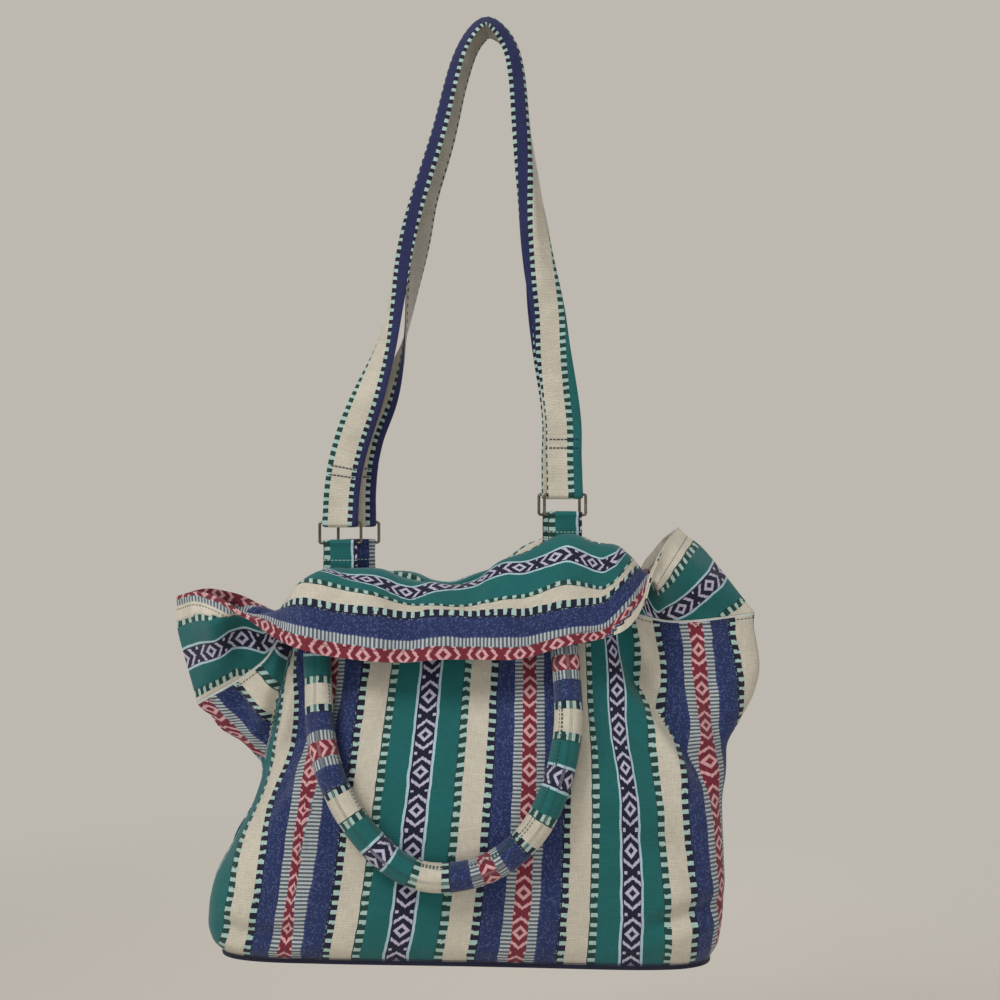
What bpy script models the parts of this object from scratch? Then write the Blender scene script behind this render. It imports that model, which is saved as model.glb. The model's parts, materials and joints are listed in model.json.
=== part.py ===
# Striped cotton tote bag, as it hangs from a peg by its two shoulder straps.
#
# The bag is sewn from a front panel, a back panel and a flat base. A deep collar of two cloth layers
# (an outer band and a facing) is sewn round the mouth. Front and back it has flopped outwards, so the
# facing shows, and at both ends it stands out as an ear. Four cloth tabs inside the mouth hold four
# wire rings, and each shoulder strap is looped round two of them. A rolled handle hangs front and back.
#
# Units are metres, +Z is up, and the front of the bag looks along -Y. The measures below count from the
# middle of the base. The finished bag is then set so that the origin is where its straps lie on the peg.

import bmesh
import bpy
from math import cos, pi, sin
from mathutils import Vector

# Cloth and gaps
GAP = 0.0003
LAYER_THICKNESS = 0.0012
PANEL_THICKNESS = 2 * LAYER_THICKNESS + GAP
BASE_THICKNESS = 0.003

# Body: reach of each side, depth and roundness up the bag, as shares of its own measures
BASE_REACH = 0.206
MOUTH_REACH_RIGHT = 0.236
MOUTH_REACH_LEFT = 0.222
BASE_HALF_DEPTH = 0.068
MOUTH_HALF_DEPTH = 0.014
RIGHT_SEAM_HEIGHT = 0.268
LEFT_SEAM_HEIGHT = 0.194
LEFT_TAB_SEAM = 0.297
MIDDLE_SEAM = 0.281
RIGHT_TAB_SEAM = 0.320

# Tabs and rings
LEFT_TAB_X = -0.103
RIGHT_TAB_X = 0.080
BACK_LEFT_SHIFT = 0.013
BACK_RIGHT_SHIFT = -0.004
TAB_WIDTH = 0.028
TAB_THICKNESS = 0.003
TAB_TAIL = 0.022
TAB_RISE = 0.028
WIRE = 0.0024
WIRE_PLAY = 0.00035
RING_WIDTH = 0.036
RING_DROP = 0.0166
RING_CORNER = 0.0015

# Straps
STRAP_WIDTH = 0.029
STRAP_THICKNESS = 0.0024
STRAP_TOP = 0.755
STRAP_TOP_X = 0.017
STRAP_TURNBACK = 0.052
STRAP_TURN = ((0, 0), (0.08, 0), (0.22, 0.8), (0.34, 1), (0.6, 1), (0.74, 1.5), (0.84, 1.9), (0.92, 2),
              (1, 2))
STRAP_STATIONS = 84
CROWN_HALF = 0.025

# Rolled handles
HANDLE_RADIUS = 0.0115
HANDLE_LEFT_X = -0.119
HANDLE_RIGHT_X = 0.080
HANDLE_TOP = 0.258
HANDLE_LOW = 0.062
HANDLE_PLAY = 0.0008
HANDLE_STATIONS = 34

# Collar
HEM_DROP = 0.062
HEM_STAND_OFF = 0.056
FOLD_RISE = 0.009
FOLD_STAND_OFF = 0.024
RIGHT_EAR_LEAN = -0.063
RIGHT_EAR_RISE = 0.070
LEFT_EAR_LEAN = -0.017
LEFT_EAR_RISE = 0.087
EAR_CREST = 0.68
EAR_BELLY = 0.4
TURNS = ((-0.86, -0.46), (0.44, 0.78))

COLUMNS = 28
PANEL_ROWS = 11
COLLAR_ROWS = 12

CREAM = (0.60, 0.53, 0.40)
GREEN = (0.02, 0.17, 0.13)
BLUE = (0.035, 0.05, 0.16)
BRASS = (0.16, 0.14, 0.11)


def clear_scene():
    for item in list(bpy.data.objects):
        bpy.data.objects.remove(item, do_unlink=True)


def collection(name):
    group = bpy.data.collections.new(name)
    bpy.context.scene.collection.children.link(group)
    return group


def material(name, colour, roughness=0.9, metallic=0.0):
    made = bpy.data.materials.new(name)
    made.use_nodes = True
    shader = made.node_tree.nodes["Principled BSDF"]
    shader.inputs["Base Color"].default_value = (*colour, 1.0)
    shader.inputs["Roughness"].default_value = roughness
    shader.inputs["Metallic"].default_value = metallic
    return made


def smooth_between(points, at):
    """Value at a place along (place, value) pairs, joined by smooth pieces that never overshoot."""
    places = [place for place, value in points]
    values = [value for place, value in points]
    if at <= places[0]:
        return values[0]
    if at >= places[-1]:
        return values[-1]
    last = len(points) - 1
    k = max(i for i in range(last) if places[i] <= at)
    span = places[k + 1] - places[k]
    t = (at - places[k]) / span
    return (
        values[k] * (2 * t**3 - 3 * t**2 + 1)
        + slope_at(places, values, k) * span * (t**3 - 2 * t**2 + t)
        + values[k + 1] * (3 * t**2 - 2 * t**3)
        + slope_at(places, values, k + 1) * span * (t**3 - t**2)
    )


def slope_at(places, values, k):
    """Slope through one of the pairs, level where the values turn or stay."""
    if k == 0 or k == len(places) - 1:
        a = max(k - 1, 0)
        return (values[a + 1] - values[a]) / (places[a + 1] - places[a])
    before = (values[k] - values[k - 1]) / (places[k] - places[k - 1])
    after = (values[k + 1] - values[k]) / (places[k + 1] - places[k])
    if before * after <= 0:
        return 0.0
    return 2 * before * after / (before + after)


def through(points, at):
    """Point at 0 to 1 on a smooth curve through the points, evenly spread between them."""
    last = len(points) - 1
    place = min(max(at, 0.0), 1.0) * last
    k = min(int(place), last - 1)
    t = place - k
    here, there = points[k], points[k + 1]
    before = points[k - 1] if k > 0 else here * 2 - there
    after = points[k + 2] if k + 2 <= last else there * 2 - here
    return (
        here * 2
        + (there - before) * t
        + (before * 2 - here * 5 + there * 4 - after) * t**2
        + (here * 3 - before - there * 3 + after) * t**3
    ) * 0.5


def spread(fine, count):
    """count points evenly spaced along a line of many points."""
    lengths = [0.0]
    for a, b in zip(fine, fine[1:]):
        lengths.append(lengths[-1] + (b - a).length)
    path = []
    k = 0
    for i in range(count):
        want = lengths[-1] * i / (count - 1)
        while k < len(fine) - 2 and lengths[k + 1] < want:
            k += 1
        share = (want - lengths[k]) / max(lengths[k + 1] - lengths[k], 1e-9)
        path.append(fine[k].lerp(fine[k + 1], min(share, 1.0)))
    return path


def even_path(points, count):
    """count points evenly spaced along a smooth curve through the points."""
    return spread([through(points, i / 400) for i in range(401)], count)


# The body's form

def side_reach(v, right):
    """How far a side stands out from the middle, v going from the base up to the mouth seam."""
    base = BASE_REACH
    if right:
        mouth = MOUTH_REACH_RIGHT
        shape = ((0, base - 0.010), (0.05, base - 0.003), (0.2, base), (0.43, base + 0.002),
                 (0.58, base + 0.005), (0.66, mouth - 0.014), (0.75, mouth - 0.002),
                 (0.85, mouth + 0.003), (1, mouth))
    else:
        mouth = MOUTH_REACH_LEFT
        shape = ((0, base - 0.010), (0.05, base - 0.003), (0.12, base), (0.25, base - 0.003),
                 (0.42, base - 0.013), (0.59, base - 0.027), (0.72, base - 0.034),
                 (0.80, base - 0.026), (0.91, mouth - 0.015), (1, mouth))
    return smooth_between(shape, v)


def half_depth(v):
    slim = MOUTH_HALF_DEPTH
    deep = BASE_HALF_DEPTH
    shape = ((0, deep * 0.85), (0.05, deep * 0.95), (0.16, deep), (0.36, deep * 0.96),
             (0.56, deep * 0.74), (0.76, slim + (deep - slim) * 0.25), (0.9, slim * 1.2), (1, slim))
    return smooth_between(shape, v)


def roundness(v):
    """Exponent of the plan section: a rounded box at the base, a flat lens at the mouth."""
    return smooth_between(((0, 5.0), (0.3, 4.2), (0.7, 2.6), (1, 2.4)), v)


def seam_height(share):
    """Height of the mouth seam, share going from -1 at the left end to 1 at the right end."""
    left_tab = LEFT_TAB_X / MOUTH_REACH_LEFT
    right_tab = RIGHT_TAB_X / MOUTH_REACH_RIGHT
    shape = (
        (-1, LEFT_SEAM_HEIGHT),
        (-0.75, LEFT_SEAM_HEIGHT * 0.66 + LEFT_TAB_SEAM * 0.34),
        (left_tab - 0.14, LEFT_TAB_SEAM - 0.020),
        (left_tab, LEFT_TAB_SEAM),
        (-0.06, MIDDLE_SEAM),
        (right_tab, RIGHT_TAB_SEAM),
        (right_tab + 0.18, RIGHT_TAB_SEAM - 0.028),
        (0.7, RIGHT_SEAM_HEIGHT + 0.010),
        (1, RIGHT_SEAM_HEIGHT),
    )
    return smooth_between(shape, share)


def plan_share(angle, power):
    """Shares of the reach and of the half depth at an angle round the plan section."""
    across = abs(cos(angle)) ** (2 / power)
    return (across if cos(angle) >= 0 else -across), abs(sin(angle)) ** (2 / power)


def column_angles():
    """Angles of the columns up the front half, left to right, closer where the collar turns over."""
    even = [pi + pi * i / COLUMNS for i in range(COLUMNS + 1)]
    between = [angle + pi / COLUMNS / 2 for angle in even[:-1]]
    closer = [a for a in between if any(low < plan_share(a, roundness(1))[0] < high for low, high in TURNS)]
    return sorted(even + closer)


def body_point(angle, v):
    across, deep = plan_share(angle, roundness(v))
    top_share = plan_share(angle, roundness(1))[0]
    low = BASE_THICKNESS + GAP
    z = low + v * (seam_height(top_share) - low)
    x = across * side_reach(v, across >= 0)
    y = -deep * half_depth(v)
    return Vector((x, min(y, -GAP / 2), z))


def body_front_at(x, z):
    """Distance of the front panel's face from the middle plane at a place seen from the front."""
    v = 0.5
    share = 0.0
    low = BASE_THICKNESS + GAP
    for _ in range(12):
        share = min(abs(x) / side_reach(v, x >= 0), 0.999)
        top_share = share ** (roundness(v) / roundness(1))
        top = seam_height(top_share if x >= 0 else -top_share)
        v = min(max((z - low) / (top - low), 0.0), 1.0)
    power = roundness(v)
    return half_depth(v) * (1 - share**power) ** (1 / power)


# Solids from grids of points

def grid_normals(grid, level_rows):
    """Unit normals of a grid whose first and last columns lie on y = 0, level in the named rows."""
    rows, columns = len(grid), len(grid[0])
    normals = []
    for j in range(rows):
        line = []
        for i in range(columns):
            before = grid[j][i - 1] if i > 0 else grid[j][1]
            after = grid[j][i + 1] if i < columns - 1 else grid[j][columns - 2]
            if i == 0:
                before = Vector((before.x, -before.y, before.z))
            if i == columns - 1:
                after = Vector((after.x, -after.y, after.z))
            up = grid[min(j + 1, rows - 1)][i] - grid[max(j - 1, 0)][i]
            if j in level_rows:
                up = Vector((0, 0, 1))
            line.append((after - before).cross(up).normalized())
        normals.append(line)
    return normals


def sheet_solid(name, group, finish, grid, near, far, level_rows, flip=False):
    """Closed solid between two offsets of a grid of points, measured along the grid's normals."""
    normals = grid_normals(grid, level_rows)
    rows, columns = len(grid), len(grid[0])
    mesh = bmesh.new()
    faces = []
    for offset in (near, far):
        faces.append([
            [mesh.verts.new(seated(grid[j][i] + normals[j][i] * offset, grid[j][i])) for i in range(columns)]
            for j in range(rows)
        ])
    a, b = faces
    for j in range(rows - 1):
        for i in range(columns - 1):
            mesh.faces.new((a[j][i], a[j][i + 1], a[j + 1][i + 1], a[j + 1][i]))
            mesh.faces.new((b[j][i], b[j + 1][i], b[j + 1][i + 1], b[j][i + 1]))
    for i in range(columns - 1):
        mesh.faces.new((a[0][i], b[0][i], b[0][i + 1], a[0][i + 1]))
        mesh.faces.new((a[-1][i], a[-1][i + 1], b[-1][i + 1], b[-1][i]))
    for j in range(rows - 1):
        mesh.faces.new((a[j][0], a[j + 1][0], b[j + 1][0], b[j][0]))
        mesh.faces.new((a[j][-1], b[j][-1], b[j + 1][-1], a[j + 1][-1]))
    bmesh.ops.recalc_face_normals(mesh, faces=mesh.faces)
    if flip:
        bmesh.ops.scale(mesh, vec=(1, -1, 1), verts=mesh.verts)
        bmesh.ops.reverse_faces(mesh, faces=mesh.faces)
    return add_mesh(name, group, finish, mesh)


def seated(point, start):
    """Keeps an offset point on its own side of the middle plane."""
    if start.y < 0 and point.y > -GAP / 2:
        point.y = -GAP / 2
    return point


def add_mesh(name, group, finish, mesh):
    data = bpy.data.meshes.new(name)
    bmesh.ops.triangulate(mesh, faces=mesh.faces)
    mesh.to_mesh(data)
    mesh.free()
    data.materials.append(finish)
    made = bpy.data.objects.new(name, data)
    group.objects.link(made)
    return made


# Sewn body

def make_panels(group, finish):
    grid = []
    for j in range(PANEL_ROWS + 1):
        v = (j / PANEL_ROWS) ** 0.9
        grid.append([body_point(angle, v) for angle in column_angles()])
    level = (0, PANEL_ROWS)
    sheet_solid("front_panel", group, finish["blue"], grid, 0.0, -PANEL_THICKNESS, level)
    sheet_solid("back_panel", group, finish["green"], grid, 0.0, -PANEL_THICKNESS, level, flip=True)


def make_base(group, finish):
    outline = bpy.data.curves.new("base_panel", "CURVE")
    outline.dimensions = "2D"
    outline.fill_mode = "BOTH"
    outline.extrude = BASE_THICKNESS / 2
    spline = outline.splines.new("POLY")
    half = column_angles()
    around = [angle - pi for angle in half[:-1]] + half[:-1]
    spline.points.add(len(around) - 1)
    for angle, point in zip(around, spline.points):
        across, deep = plan_share(angle, roundness(0))
        side = 1 if angle < pi else -1
        point.co = (across * side_reach(0, across >= 0), side * deep * half_depth(0), 0, 1)
    spline.use_cyclic_u = True
    outline.materials.append(finish["cream"])
    base = bpy.data.objects.new("base_panel", outline)
    base.location.z = BASE_THICKNESS / 2
    group.objects.link(base)


# Collar of two layers

def seam_point(share):
    """Point of the front half's mouth seam, share going from -1 at the left end to 1 at the right."""
    power = roundness(1)
    y = -half_depth(1) * max(1 - abs(share) ** power, 0) ** (1 / power)
    return Vector((share * side_reach(1, share >= 0), min(y, -GAP / 2), seam_height(share)))


def collar_stations():
    """(share, crest, hem, fold) from the left ear's end to the right one's; fold is 1 where turned over."""
    left_end = seam_point(-1)
    right_end = seam_point(1)
    left_tip = left_end + Vector((LEFT_EAR_LEAN, 0, LEFT_EAR_RISE))
    right_tip = right_end + Vector((RIGHT_EAR_LEAN, 0, RIGHT_EAR_RISE))

    def ear(share, tip, inwards, out, up, belly=EAR_BELLY):
        hem = tip + Vector((inwards, -out, up))
        crest = seam_point(share).lerp(hem, EAR_CREST) + Vector((0, -out * belly, 0))
        return share, crest, hem, 0.0

    def turned(share, rise, drop, fold=1.0, stand_off=HEM_STAND_OFF):
        low = seam_point(share)
        crest = Vector((low.x, -FOLD_STAND_OFF, low.z + rise))
        hem = Vector((low.x, -stand_off, crest.z - drop))
        return share, crest, hem, fold

    left_tab = LEFT_TAB_X / MOUTH_REACH_LEFT
    right_tab = RIGHT_TAB_X / MOUTH_REACH_RIGHT
    rise, drop = FOLD_RISE, HEM_DROP
    return [
        (-1, left_end.lerp(left_tip, EAR_CREST) + Vector((-0.004, 0, 0)), left_tip, 0.0),
        ear(-0.94, left_tip, 0.020, 0.016, 0.005),
        ear(-0.87, left_tip, 0.038, 0.030, 0.001),
        turned(-0.80, rise + 0.035, drop - 0.067, 0.25, HEM_STAND_OFF - 0.012),
        turned(-0.72, rise + 0.033, drop - 0.048, 0.75, HEM_STAND_OFF - 0.006),
        turned(-0.60, rise + 0.022, drop - 0.020),
        turned(left_tab, rise, drop),
        turned(-0.22, rise, drop),
        turned(-0.06, rise, drop - 0.008),
        turned(0.14, rise, drop + 0.012),
        turned(right_tab, rise, drop + 0.020),
        turned(0.50, rise + 0.016, drop),
        turned(0.60, rise + 0.009, drop - 0.051, 0.6, HEM_STAND_OFF - 0.010),
        ear(0.69, right_tip, -0.024, 0.040, -0.034, EAR_BELLY / 3),
        ear(0.79, right_tip, -0.017, 0.029, -0.022, EAR_BELLY / 2),
        ear(0.90, right_tip, -0.008, 0.019, -0.009),
        (1, right_end.lerp(right_tip, EAR_CREST) + Vector((0.003, 0, 0.002)), right_tip, 0.0),
    ]


def collar_grid():
    stations = collar_stations()

    def between(share, item, axis):
        return smooth_between([(s[0], s[item][axis]) for s in stations], share)

    columns = []
    for angle in column_angles():
        share = plan_share(angle, roundness(1))[0]
        crest = Vector([between(share, 1, axis) for axis in range(3)])
        hem = Vector([between(share, 2, axis) for axis in range(3)])
        fold = smooth_between([(s[0], s[3]) for s in stations], share)
        columns.append(collar_column(seam_point(share) + Vector((0, 0, GAP)), crest, hem, fold))
    return [[column[j] for column in columns] for j in range(COLLAR_ROWS + 1)]


def collar_column(low, crest, hem, fold):
    """One line across the band: up from the seam, over the crest and down to the hem."""
    fold = fold**1.5
    straight = (hem - low) * 0.5
    rise = (crest - low).length
    fall = (hem - crest).length
    start = Vector((0, 0, 1)) * rise * fold + straight * (1 - fold)
    over = Vector((0, -1, 0)) * (rise + fall) * 0.4 * fold + straight * (1 - fold)
    end = Vector((0, -0.1, -1)) * fall * fold + straight * (1 - fold)
    fine = [hermite(low, start, crest, over, k / 20) for k in range(20)]
    fine += [hermite(crest, over, hem, end, k / 20) for k in range(21)]
    return [Vector((p.x, min(p.y, -GAP / 2), p.z)) for p in spread(fine, COLLAR_ROWS + 1)]


def hermite(a, slope_a, b, slope_b, t):
    return (
        a * (2 * t**3 - 3 * t**2 + 1) + slope_a * (t**3 - 2 * t**2 + t)
        + b * (3 * t**2 - 2 * t**3) + slope_b * (t**3 - t**2)
    )


def make_collar(group, finish):
    """Outer bands continue the panels' faces; the facings lie against them on the inside."""
    grid = collar_grid()
    near = -LAYER_THICKNESS - GAP
    far = near - LAYER_THICKNESS
    for side, flip in (("front", False), ("back", True)):
        sheet_solid(side + "_collar", group, finish["green"], grid, 0.0, -LAYER_THICKNESS, (0,), flip)
        sheet_solid(side + "_facing", group, finish["blue"], grid, near, far, (0,), flip)


# Tabs, rings and straps

def corners():
    """Name, x, side (-1 front, 1 back) and heights of the four corners where a strap is held."""
    outermost = max(abs(LEFT_TAB_X), abs(RIGHT_TAB_X)) + TAB_WIDTH / 2
    reach = min(MOUTH_REACH_LEFT, MOUTH_REACH_RIGHT)
    inner = -seam_point(outermost / reach).y - PANEL_THICKNESS
    y = inner - GAP - TAB_THICKNESS / 2
    found = {}
    for name, x, side, shift in (
        ("front_left", LEFT_TAB_X, -1, 0.0),
        ("front_right", RIGHT_TAB_X, -1, 0.0),
        ("back_left", LEFT_TAB_X, 1, BACK_LEFT_SHIFT),
        ("back_right", RIGHT_TAB_X, 1, BACK_RIGHT_SHIFT),
    ):
        seam = seam_height(x / (MOUTH_REACH_RIGHT if x >= 0 else MOUTH_REACH_LEFT))
        found[name] = {"x": x + shift, "y": side * y, "seam": seam, "bar": seam + TAB_RISE}
    return found


def make_tab(name, group, finish, corner):
    """A folded cloth loop over the ring's lower bar, its tail sewn inside the mouth."""
    inner = WIRE / 2 + WIRE_PLAY
    outer = inner + TAB_THICKNESS * 0.62
    half = TAB_THICKNESS / 2
    tail = corner["seam"] - TAB_TAIL - corner["bar"]
    neck = -outer * 1.9
    profile = [(-half, tail), (half, tail), (half, neck)]
    profile += [(outer * sin(a), outer * cos(a)) for a in (pi * (0.78 - 1.56 * k / 14) for k in range(15))]
    profile += [(-half, neck)]
    hole = [(inner * sin(2 * pi * k / 14), inner * cos(2 * pi * k / 14)) for k in range(14)]
    curve = bpy.data.curves.new(name, "CURVE")
    curve.dimensions = "2D"
    curve.fill_mode = "BOTH"
    curve.extrude = TAB_WIDTH / 2
    for outline in (profile, hole):
        spline = curve.splines.new("POLY")
        spline.points.add(len(outline) - 1)
        for point, (across, up) in zip(spline.points, outline):
            point.co = (across, up, 0, 1)
        spline.use_cyclic_u = True
    curve.materials.append(finish["green"])
    tab = bpy.data.objects.new(name, curve)
    tab.rotation_euler = (pi / 2, 0, pi / 2)
    tab.location = (corner["x"], corner["y"], corner["bar"])
    group.objects.link(tab)


def make_ring(name, group, finish, corner):
    """A bent wire ring, its origin on the strap's bar, round which it swings."""
    half = (RING_WIDTH - WIRE) / 2
    path = []
    for turn, (side, low) in enumerate(((1, 0), (-1, 0), (-1, 1), (1, 1))):
        centre = Vector((side * (half - RING_CORNER), 0, -low * RING_DROP + (RING_CORNER if low else -RING_CORNER)))
        for k in range(5):
            angle = pi / 2 * (turn + k / 4)
            path.append(centre + Vector((cos(angle), 0, sin(angle))) * RING_CORNER)
    curve = bpy.data.curves.new(name, "CURVE")
    curve.dimensions = "3D"
    curve.bevel_depth = WIRE / 2
    curve.bevel_resolution = 2
    spline = curve.splines.new("POLY")
    spline.points.add(len(path) - 1)
    for point, place in zip(spline.points, path):
        point.co = (*place, 1)
    spline.use_cyclic_u = True
    curve.materials.append(finish["brass"])
    ring = bpy.data.objects.new(name, curve)
    ring.location = (corner["x"], corner["y"], corner["bar"] + RING_DROP)
    group.objects.link(ring)


def ring_bar(corner):
    return Vector((corner["x"], corner["y"], corner["bar"] + RING_DROP))


def front_run(left, right):
    """Middle line of the front strap from ring bar to ring bar, over the peg."""
    crown = Vector((STRAP_TOP_X, 0, STRAP_TOP - STRAP_THICKNESS / 2))

    def up(foot, share, out, hold):
        x = foot.x + (crown.x - foot.x) * share + out
        return Vector((x, foot.y * hold, foot.z + (crown.z - foot.z) * share))

    return [
        left,
        left + Vector((0.002, 0, 0.030)),
        left + Vector((0.009, 0, 0.064)),
        up(left, 0.34, -0.007, 0.75),
        up(left, 0.55, -0.018, 0.45),
        up(left, 0.76, -0.017, 0.2),
        Vector((crown.x - CROWN_HALF, 0, crown.z - CROWN_HALF * 1.05)),
        crown,
        Vector((crown.x + CROWN_HALF, 0, crown.z - CROWN_HALF * 1.05)),
        up(right, 0.76, 0.019, 0.2),
        up(right, 0.55, 0.014, 0.45),
        up(right, 0.34, 0.010, 0.75),
        right + Vector((-0.002, 0, 0.064)),
        right + Vector((-0.001, 0, 0.030)),
        right,
    ]


def strap_turn(share):
    """Directions across the strap and out of its face at a share of its length."""
    turn = smooth_between(STRAP_TURN, share) * pi / 2
    return Vector((cos(turn), -sin(turn), 0)), Vector((-sin(turn), -cos(turn), 0))


def strap_paths(held):
    """Middle lines of the front strap and of the back strap, which lies inside it over the peg."""
    front_left, front_right = ring_bar(held["front_left"]), ring_bar(held["front_right"])
    back_left, back_right = ring_bar(held["back_left"]), ring_bar(held["back_right"])
    front = even_path(front_run(front_left, front_right), STRAP_STATIONS)
    last = len(front) - 1
    close = STRAP_THICKNESS + 3 * GAP
    apart = back_left.y - front_left.y
    back = []
    for i, point in enumerate(front):
        share = i / last
        along = (front[min(i + 1, last)] - front[max(i - 1, 0)]).normalized()
        across = strap_turn(share)[0]
        out = (across - along * across.dot(along)).normalized().cross(along)
        gap = smooth_between(((0, apart), (0.12, apart * 0.9), (0.26, apart * 0.66), (0.35, close),
                              (0.58, close), (0.72, apart * 0.5), (0.86, apart * 0.8), (1, apart)), share)
        shift = smooth_between(((0, back_left.x - front_left.x), (0.24, 0.002), (0.35, 0), (0.8, 0),
                                (1, back_right.x - front_right.x)), share)
        drop = smooth_between(((0, back_left.z - front_left.z), (0.1, 0), (0.9, 0),
                               (1, back_right.z - front_right.z)), share)
        back.append(point - out * gap + Vector((shift, 0, drop)))
    return front, back


def strap_frames(path):
    """Stations of a strap as (middle, across), with its loops round the rings at both ends."""
    leaf = Vector((0, STRAP_THICKNESS / 2 + GAP / 2, 0))
    loop = WIRE / 2 + WIRE_PLAY + STRAP_THICKNESS / 2
    last = len(path) - 1

    def turned_back(points):
        """The loop round the ring's bar and the leaf that is sewn down behind the strap."""
        bar = points[0]
        leaves = []
        length = 0.0
        for a, b in zip(points, points[1:]):
            length += (b - a).length
            if length > STRAP_TURNBACK:
                break
            if length > loop * 2.2:
                leaves.append(b + leaf)
        around = [bar + Vector((0, cos(pi * k / 8), -sin(pi * k / 8))) * loop for k in range(9)]
        return list(reversed(leaves)) + around

    across_left = strap_turn(0)[0]
    across_right = strap_turn(1)[0]
    stations = [(point, across_left) for point in turned_back(path)]
    for i in range(1, last):
        if min((path[i] - path[0]).length, (path[i] - path[-1]).length) < loop * 2.2:
            continue
        share = i / last
        held = smooth_between(((0, 1), (0.10, 1), (0.2, 0), (0.8, 0), (0.9, 1), (1, 1)), share)
        stations.append((path[i] - leaf * held, strap_turn(share)[0]))
    stations += [(point, across_right) for point in reversed(turned_back(list(reversed(path))))]
    return stations


def make_strap(name, group, finish, stations):
    """A flat strap swept along its stations, closed at both cut ends."""
    mesh = bmesh.new()
    rings = []
    for i, (middle, across) in enumerate(stations):
        before = stations[max(i - 1, 0)][0]
        after = stations[min(i + 1, len(stations) - 1)][0]
        along = (after - before).normalized()
        wide = (across - along * across.dot(along)).normalized()
        out = wide.cross(along)
        w = wide * STRAP_WIDTH / 2
        t = out * STRAP_THICKNESS / 2
        rings.append([mesh.verts.new(middle + p) for p in (-w - t, w - t, w + t, -w + t)])
    for a, b in zip(rings, rings[1:]):
        for k in range(4):
            mesh.faces.new((a[k], a[(k + 1) % 4], b[(k + 1) % 4], b[k]))
    mesh.faces.new(rings[0])
    mesh.faces.new(list(reversed(rings[-1])))
    bmesh.ops.recalc_face_normals(mesh, faces=mesh.faces)
    add_mesh(name, group, finish, mesh)


def hook_point(back):
    """Where the peg carries the straps: the underside of the inner strap's crown."""
    top = max(back, key=lambda point: point.z)
    return Vector((top.x, 0, top.z - STRAP_THICKNESS / 2))


# Rolled handles

def handle_lift(x, z):
    """Distance from the middle plane at which the handle just lies on the panel at x, z."""
    most = 0.0
    for reach in (0, 0.5, 0.85, 1):
        for k in range(8):
            dx = HANDLE_RADIUS * reach * cos(pi * k / 4)
            dz = HANDLE_RADIUS * reach * sin(pi * k / 4)
            lie = HANDLE_RADIUS * (1 - reach**2) ** 0.5
            most = max(most, body_front_at(x + dx, z + dz) + lie)
    return most + HANDLE_PLAY


def handle_points():
    """Points of the front handle's middle line, hanging in a U against the front panel."""
    middle = (HANDLE_LEFT_X + HANDLE_RIGHT_X) / 2
    half = (HANDLE_RIGHT_X - HANDLE_LEFT_X) / 2
    depth = HANDLE_TOP - HANDLE_LOW - HANDLE_RADIUS
    shape = ((-1.0, 0.0), (-0.99, 0.18), (-0.94, 0.42), (-0.82, 0.62), (-0.58, 0.82), (-0.28, 0.96),
             (0.04, 1.0), (0.42, 0.95), (0.74, 0.80), (0.93, 0.58), (1.0, 0.38), (0.99, 0.18), (0.96, 0.0))
    points = []
    for across, down in shape:
        x = middle + half * across
        z = HANDLE_TOP - depth * down
        points.append(Vector((x, -handle_lift(x, z), z)))
    return points


def make_handle(name, group, finish, side):
    path = even_path(handle_points(), HANDLE_STATIONS)
    curve = bpy.data.curves.new(name, "CURVE")
    curve.dimensions = "3D"
    curve.bevel_depth = HANDLE_RADIUS
    curve.bevel_resolution = 3
    curve.use_fill_caps = True
    spline = curve.splines.new("POLY")
    spline.points.add(len(path) - 1)
    for point, place in zip(spline.points, path):
        y = min(place.y, -handle_lift(place.x, place.z))
        point.co = (place.x, y * side, place.z, 1)
    curve.materials.append(finish["green"])
    handle = bpy.data.objects.new(name, curve)
    group.objects.link(handle)


def main():
    clear_scene()
    group = collection("striped_tote_bag")
    finish = {
        "cream": material("cream_cotton", CREAM),
        "green": material("green_cotton", GREEN),
        "blue": material("blue_cotton", BLUE),
        "brass": material("dark_brass_wire", BRASS, 0.35, 1.0),
    }
    make_panels(group, finish)
    make_base(group, finish)
    make_collar(group, finish)
    held = corners()
    for name, corner in held.items():
        make_tab(name + "_tab", group, finish, corner)
        make_ring(name + "_ring", group, finish, corner)
    front, back = strap_paths(held)
    make_strap("front_strap", group, finish["cream"], strap_frames(front))
    make_strap("back_strap", group, finish["blue"], strap_frames(back))
    make_handle("front_handle", group, finish, 1)
    make_handle("back_handle", group, finish, -1)
    hook = hook_point(back)
    for piece in group.objects:
        piece.location -= hook


main()
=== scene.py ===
# %% [markdown]
# # A striped cotton tote bag, hanging from a peg
# The bag is sewn from one striped cloth. Two panels and a flat base make the body, a deep collar of two
# layers is sewn round the mouth, two rolled handles lie on the panels, and two long straps hold the bag
# up by four wire rings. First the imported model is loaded. It is the fixed frame that all pieces fit.
# %% Load the frame
import json
from math import cos, pi, sin

import bpy
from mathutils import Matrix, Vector
from mathutils.noise import noise

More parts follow.
